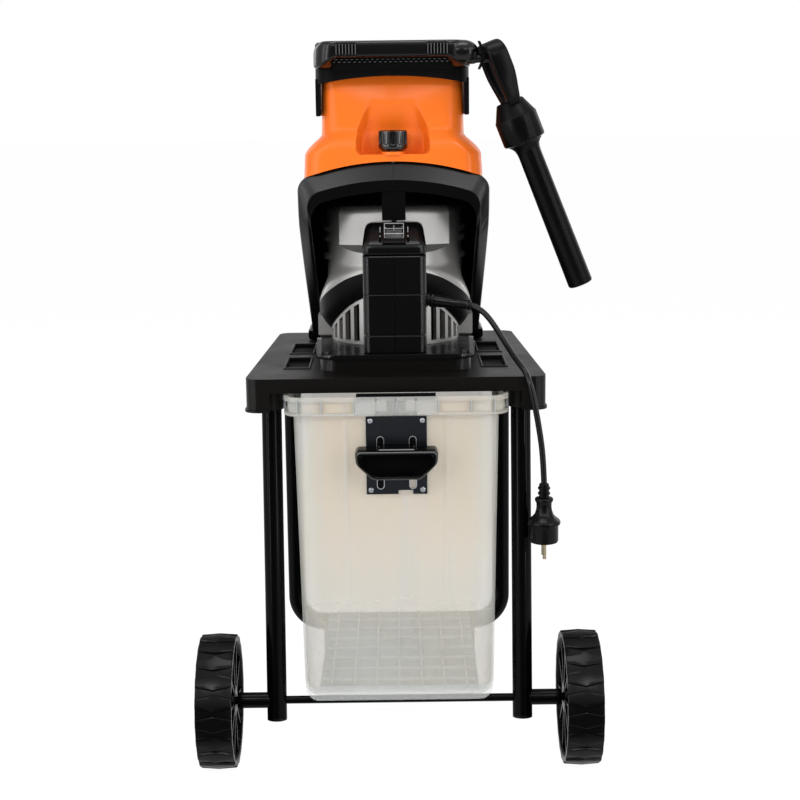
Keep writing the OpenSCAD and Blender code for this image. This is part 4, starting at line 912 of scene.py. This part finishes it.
# Plunger: a black pusher hung on a peg by its strap loop, a block with a coned top and a thick round rod.
PLUNGER_AT = np.array((156.0, -100.0, COLLAR_TOP - 106))
PLUNGER_TURN = turn_about("Y", -21.6) @ turn_about("Z", 15)


def strap_loop(half=31.0, foot=22.0, top=110.0, r=20.0, thick=11.0, wide=20.0):
    """Closed loop of flat strap: a rounded rectangle path in Y and Z that carries a rounded flat section,
    broad on the near arm, slim on the far one and drawn in towards its foot."""
    t = thick / 2
    ring = plan_ring(half - t, foot + t, top - t, r - t, front=5, sides=9, steps=8)
    run = unit(np.roll(ring, -1, 0) - np.roll(ring, 1, 0))
    out = np.stack([run[:, 1], -run[:, 0]], -1)
    a = full_turn(20)
    u = np.sign(np.cos(a)) * np.abs(np.cos(a)) ** 0.5 * t
    v = np.sign(np.sin(a)) * np.abs(np.sin(a)) ** 0.35 * wide / 2
    draw = ease_in((ring[:, 1] - foot) / 52)
    share = (1 - 0.3 * ring[:, 0] / half) * (0.6 + 0.4 * draw)
    ring = ring * np.stack([0.66 + 0.34 * draw, np.ones(len(draw))], -1)
    rings = [np.c_[q * share, ring + out * p] for p, q in zip(u, v)]
    return loft(rings, "loop")


plunger_plastic = finish("plunger_plastic", "#0a0a0b", "#060607", 0.28, 0.36, cloud=18, grain=1000,
                         depth=0.01, specular=0.01, side_sheen=0.14)
block = [(23.5, -19), (25.6, -18.2), (26.5, -16.4), (26.5, 12.6), (26.2, 13.6), (25.4, 14.6), (17.2, 32.6),
         (16.2, 33.6), (14.5, 34)]
rod = [(13, -210), (14.6, -209.2), (15.5, -207.4), (14.5, -36), (14.9, -30.5), (16.2, -26), (18.8, -22.4),
       (21.6, -20.2)]
for name, parts, node in (("plunger_handle", [turned(block, 72), strap_loop()], "plunger_grip"),
                          ("plunger_stick", [turned(rod, 64)], "plunger_rod")):
    piece(name, [moved(p, PLUNGER_AT, PLUNGER_TURN) for p in parts], plunger_plastic, "plunger",
          replaced=node, sharp=40)

# Collection box: one milky polypropylene moulding. Its rim is a plain ribbed band in the middle and open
# windows at both sides, two upright beads run down the front to a thin rounded lip, and a lattice of ribs
# stiffens the floor.
BOX_Y0 = -170.0
BOX_Y1 = 185.0
BOX_Z = 90.5
RIM_Z = PLATE_Z - 43
RIM_TOP = PLATE_Z - 20
RIM_W = 138.7
RIM_Y0 = -180.0
RIM_Y1 = 195.0
RIM_BAND = 51.5
BOX_WALL = 2.5
BEAD_X = 62.0
LIP_Z = 85.9
FRONT = 141
milky = finish("milky_polypropylene", "#cfd0cb", "#d2c9b8", 0.3, 0.42, cloud=7, grain=40, depth=0.0004,
               specular=0.4)
tree = milky.node_tree
shader = tree.nodes["Principled BSDF"]
grain_group = next(n for n in tree.nodes if n.type == "GROUP")
place = add(tree, "TexCoord").outputs["Object"]
along = add(tree, "SeparateXYZ", {0: place}).outputs
off = add(tree, "Math", {0: along["X"]}, operation="ABSOLUTE").outputs[0]


def share_of(value, start, stop, low=0.0, high=1.0):
    """Output that goes from low to high while a value goes from start to stop."""
    return add(tree, "MapRange", {"Value": value, "From Min": start, "From Max": stop, "To Min": low,
                                  "To Max": high}).outputs["Result"]


def worked(operation, a, b, clamp=False):
    """Output of a sum, product or comparison of two values."""
    return add(tree, "Math", {0: a, 1: b}, operation=operation, use_clamp=clamp).outputs[0]


def tinted(share, under, code):
    """Colour output: the colour under, covered by a share of another one."""
    mix = add(tree, "Mix", {"Factor": share, "A": under, "B": linear(code)}, data_type="RGBA")
    return mix.outputs["Result"]


drawn = add(tree, "Mapping", {"Vector": place, "Scale": (90, 90, 2.5)}).outputs["Vector"]
streak = add(tree, "TexNoise", {"Vector": drawn, "Scale": 1.0, "Detail": 3}).outputs["Fac"]
band = worked("MULTIPLY", worked("GREATER_THAN", along["Z"], (RIM_Z - 1) * MM),
              worked("LESS_THAN", off, RIM_BAND * MM))
beige = worked("MULTIPLY", share_of(along["Z"], 0.15, 0.3), share_of(off, 0.118, 0.088))
colour = tinted(beige, linear("#d2d7d5"), "#dccdb7")
colour = tinted(share_of(streak, 0.5, 0.75, 0, 0.55), colour, "#bcc8d2")
colour = tinted(band, colour, "#9dafbe")
rim_edge = worked("LESS_THAN", along["Y"], (RIM_Y0 + 1.2) * MM)
colour = tinted(worked("SUBTRACT", rim_edge, band, True), colour, "#bcc2c4")
tree.links.new(colour, grain_group.inputs["Tint"])
tree.links.new(share_of(along["Z"], 0.19, 0.34, 0.33, 0.46), shader.inputs["Alpha"])


def box_ring(w, z, r, inset=0.0):
    """One level of the box: the far wall leans with the sides, the front stands upright and carries two
    rounded beads 62 mm from the middle."""
    ring = plan_ring(w - inset, BOX_Y0 + 0.4 * max(120 - w, 0) + inset, BOX_Y1 - 127 + w - inset,
                     max(r - inset, 3), front=FRONT, sides=13, steps=8)
    bead = np.exp(-((np.abs(ring[:FRONT, 0]) - BEAD_X) / 3.2) ** 2)
    ring[:FRONT, 1] -= 1.3 * bead * (115 < z < RIM_Z - 4)
    return level(ring, z)


def rim_ring(inset, z, window=0.0):
    """One level of the rim; the window depth applies outside the plain middle of the front."""
    ring, small, deep = (plan_ring(RIM_W - d, RIM_Y0 + d, RIM_Y1 - d, 24 - d, front=FRONT, sides=13, steps=8)
                         for d in (0, inset, window))
    share = np.ones(len(ring))
    share[:FRONT] = ease_in((np.abs(ring[:FRONT, 0]) - RIM_BAND + 1) / 2.5)
    return level(small + (deep - ring) * share[:, None], z)


outside = [(106, 0, 14), (112, 1, 15), (116, 4, 16), (118.6, 8.5, 17), (120, 14.5, 18)]
outside = [(w, BOX_Z + z, r) for w, z, r in outside]
outside += [(123.5, 282, 18), (126.7, RIM_Z - 16, 18), (127, RIM_Z - 5, 18), (127, RIM_Z - 1.5, 18)]
box_rings = [box_ring(w, z, r) for w, z, r in outside]
rim_levels = [(1.2, RIM_Z), (0, RIM_Z + 0.8), (0, RIM_Z + 3.6), (0.6, RIM_Z + 4.2, 4),
              (0.6, RIM_TOP - 5.6, 4), (0, RIM_TOP - 5), (0, RIM_TOP - 0.8), (1, RIM_TOP), (5.5, RIM_TOP),
              (6.3, RIM_TOP - 1), (6.3, RIM_Z + 3.2)]
box_rings += [rim_ring(*row) for row in rim_levels]
box_rings += [box_ring(w, z + 3, r, BOX_WALL) for w, z, r in outside[::-1]]
rib_z = (BOX_Z + 2.7, BOX_Z + 7)
lattice = [slab(x - 1, x + 1, -150, 168, *rib_z, 0.2) for x in np.arange(-87, 88, 29)]
lattice += [slab(-100, 100, y - 1, y + 1, *rib_z, 0.2) for y in np.arange(-123, 164, 41)]
ribs = [slab(x - 0.7, x + 0.7, RIM_Y0 + 0.4, RIM_Y0 + 5.4, RIM_Z + 0.6, RIM_TOP - 0.6, 0.3)
        for x in (-121, -92, -52, 52, 92, 121)]
ribs += [slab(x - 0.6, x + 0.6, RIM_Y0, RIM_Y0 + 2, RIM_Z + 0.6, RIM_TOP - 0.6, 0.2)
         for x in (-24.5, 0, 24.5)]
lip_edge = [(100, 0, 1.2), (105, 0.4, 1.6), (109, 1.8, 1.6), (112.5, 4.6, 1.5), (115.4, 8.6, 1.2),
            (117.6, 13, 0.8), (119, 19, 0.1)]
lip = []
for w, d, t in lip_edge:
    front = BOX_Y0 - 0.2 - t
    lip.append(level(np.array([(-w, front), (w, front), (w, BOX_Y0), (-w, BOX_Y0)]), LIP_Z + d))
piece("chip_box", [loft(box_rings)], milky, "box", "collection_box", sharp=40)
lip_milk = finish("lip_milk", "#d6dadb", "#d0d2cd", 0.3, 0.42, cloud=7, specular=0.3, Alpha=0.3)
piece("box_lip", [loft(lip)], lip_milk, "box", sharp=40)
pale = finish("pale_ribs", "#d8dcdd", "#d0d5d5", 0.35, 0.5, cloud=20, specular=0.3)
piece("box_lattice", lattice, pale, "box")
rib_milk = finish("rib_milk", "#a4a8a8", "#989c9c", 0.35, 0.5, cloud=20, specular=0.3)
piece("rim_ribs", ribs, rib_milk, "box")
# Painted shade: an opaque grey-blue sheet on the box floor, for the floor's shade seen through the walls.
floor_shade_paint = finish("floor_shade_sheet", "#b6bfc4", "#adb6bb", 0.35, 0.5, cloud=9, specular=0.3)
piece("floor_shade_sheet", [slab(-102, 102, -152, 164, BOX_Z + 3.05, BOX_Z + 3.5, 0.1)], floor_shade_paint, "box")

# Latch: a dark steel plate with two slots screwed to the box front, and a black cup grip that slides on it.
latch_steel = finish("latch_steel", "#1c1f25", "#14161a", 0.25, 0.4, cloud=40, grain=600, Metallic=0.8)
LATCH_W = 37.5
LATCH_Z = RIM_Z - 100
LATCH_Y0 = BOX_Y0 - 2.0
LATCH_Y1 = BOX_Y0 - 0.05
SLOT_R = 4.0
SLOT_X = (-20, 20)
SLOT_Z = (LATCH_Z + 11, LATCH_Z + 68.5)
CELL_W = 8
CELL_Z = (5, 73.5)
SCREW_IN = 5.5
HOOK_Y = (-167.1, -165.4)


def obround(grow, y, x0, half=24):
    """Outline of a slot grown by a distance: half circles at both ends, anticlockwise from the lower left."""
    a = np.linspace(-np.pi, 0, half)
    x, z = (SLOT_R + grow) * np.cos(a), (SLOT_R + grow) * np.sin(a)
    return upright(np.r_[np.c_[x0 + x, SLOT_Z[0] + z], np.c_[x0 - x, SLOT_Z[1] - z]], y)


def slot_cell(x0):
    """Rectangle of plate round one slot, its front edge eased."""
    mid = np.array((x0, LATCH_Z + sum(CELL_Z) / 2))
    size = np.array((CELL_W, (CELL_Z[1] - CELL_Z[0]) / 2))
    way = obround(0, 0.0, x0)[:, ::2] - mid
    edge = mid + way * np.min(size / np.maximum(np.abs(way), 1e-6), axis=1)[:, None]
    for at in mid + SQUARE * size:
        edge[np.linalg.norm(edge - at, axis=1).argmin()] = at
    slot = [obround(d, LATCH_Y0 + h, x0) for d, h in ((0.5, 0), (0.15, 0.1), (0, 0.4))]
    slot.append(obround(0, LATCH_Y1, x0))
    return loft([upright(edge, LATCH_Y0)] + slot + [upright(edge, LATCH_Y1)], "loop")


def cross_head(radius=3.3, high=2.0, columns=48):
    """Screw head about Z: a dome whose middle sinks in the shape of a cross."""
    a = full_turn(columns)
    rings = [(radius, 0.0), (radius, 0.5 * high)]
    rings += [(radius * math.cos(s), high * (0.5 + 0.5 * math.sin(s)))
              for s in np.radians((25, 45, 60, 70, 78, 85))]
    points = []
    for r, z in rings:
        ring = polar(r, a, z)
        cross = (np.min(np.abs(ring[:, :2]), axis=1) < 0.42) & (r < 0.72 * radius)
        ring[cross, 2] -= 1.1
        points.append(ring)
    return loft(points)


plate_parts = [slot_cell(x) for x in SLOT_X]
for x0, x1, (z0, z1) in ((-LATCH_W, LATCH_W, (73.5, 98)), (-LATCH_W, -28, CELL_Z), (-12, 12, CELL_Z),
                         (28, LATCH_W, CELL_Z), (-LATCH_W, 2, (0, 5)), (20, LATCH_W, (0, 5))):
    plate_parts.append(slab(x0, x1, LATCH_Y0, LATCH_Y1, LATCH_Z + z0, LATCH_Z + z1, 0.0))
piece("latch_sheet", plate_parts, latch_steel, "box", "latch_plate", sharp=30)
heads = [moved(cross_head(), (x, LATCH_Y0, LATCH_Z + z), turn_about("X", 90))
         for x in (-LATCH_W + SCREW_IN, LATCH_W - SCREW_IN) for z in (SCREW_IN, 92.5)]
shade = [slab(x - 6, x + 6, BOX_Y0 - 0.7, BOX_Y0 - 0.2, LATCH_Z + z, LATCH_Z + 72, 0.1)
         for x, z in zip(SLOT_X, (6, 34))]
piece("slot_shade", shade, black_cap, "box")
bright_edge = ((-0.05, 0.5), (-0.05, -0.15), (0.7, -0.15), (0.9, 0.3))
edges = [loft([obround(d, LATCH_Y0 + h, x) for d, h in bright_edge], "loop") for x in SLOT_X]
piece("slot_edges", edges, zinc, "box")
piece("latch_screw_heads", heads, zinc, "box", "latch_screws", sharp=30)
hook_bar = [slab(-49, 49, *HOOK_Y, RIM_TOP - 6, RIM_TOP + 3, 0.4),
            slab(-12, 12, *HOOK_Y, RIM_Z + 3, RIM_TOP - 5, 0.2)]
piece("latch_hook_bar", hook_bar, black_cap, "latch")
dress(zinc, "latch_rivets")
dress(black_cap, "latch_bar")
GRIP_W = 50.5
GRIP_Z0 = RIM_Z - 75
GRIP_Z1 = RIM_Z - 39
GRIP_Y1 = -172.3
GRIP_Y0 = -206.3


def grip_ring(inset, y):
    """Rounded outline of the grip seen from the front: wide at the top, drawn in towards the foot."""
    right = [(GRIP_W - 21, GRIP_Z0), (GRIP_W - 0.5, GRIP_Z1 - 16), (GRIP_W, GRIP_Z1 - 3),
             (GRIP_W - 3, GRIP_Z1)]
    corners = np.array(right + [(-x, z) for x, z in right[::-1]])
    cut = np.array([5, 5, 1, 1, 1, 1, 5, 5])[:, None]
    start, stop = (corners + cut * unit(np.roll(corners, step, 0) - corners) for step in (1, -1))
    s = np.linspace(0, 1, 5)[None, :, None]
    ring = (1 - s) ** 2 * start[:, None] + 2 * s * (1 - s) * corners[:, None] + s ** 2 * stop[:, None]
    mid = np.array((0, (GRIP_Z0 + GRIP_Z1) / 2))
    size = np.array((GRIP_W, (GRIP_Z1 - GRIP_Z0) / 2))
    return upright(mid + (ring.reshape(-1, 2) - mid) * (1 - inset / size), y)


grip_plastic = finish("grip_plastic", "#080809", "#050506", 0.12, 0.2, cloud=40, specular=0.01, side_sheen=1.0)
grip_levels = [(0.6, GRIP_Y1), (0, GRIP_Y1 - 1), (0, GRIP_Y0 + 4), (0.5, GRIP_Y0 + 2), (1.6, GRIP_Y0 + 0.6),
               (2.8, GRIP_Y0), (4.2, GRIP_Y0), (5, GRIP_Y0 + 1), (6.4, GRIP_Y0 + 13), (7.4, GRIP_Y0 + 14)]
grip = loft([grip_ring(d, y) for d, y in grip_levels])
thumb = slab(-22, 22, GRIP_Y0 + 2, GRIP_Y1, GRIP_Z1 - 3, GRIP_Z1 + 2.5, 1.2)
piece("latch_cup", [grip, thumb], grip_plastic, "latch", replaced="latch_grip")
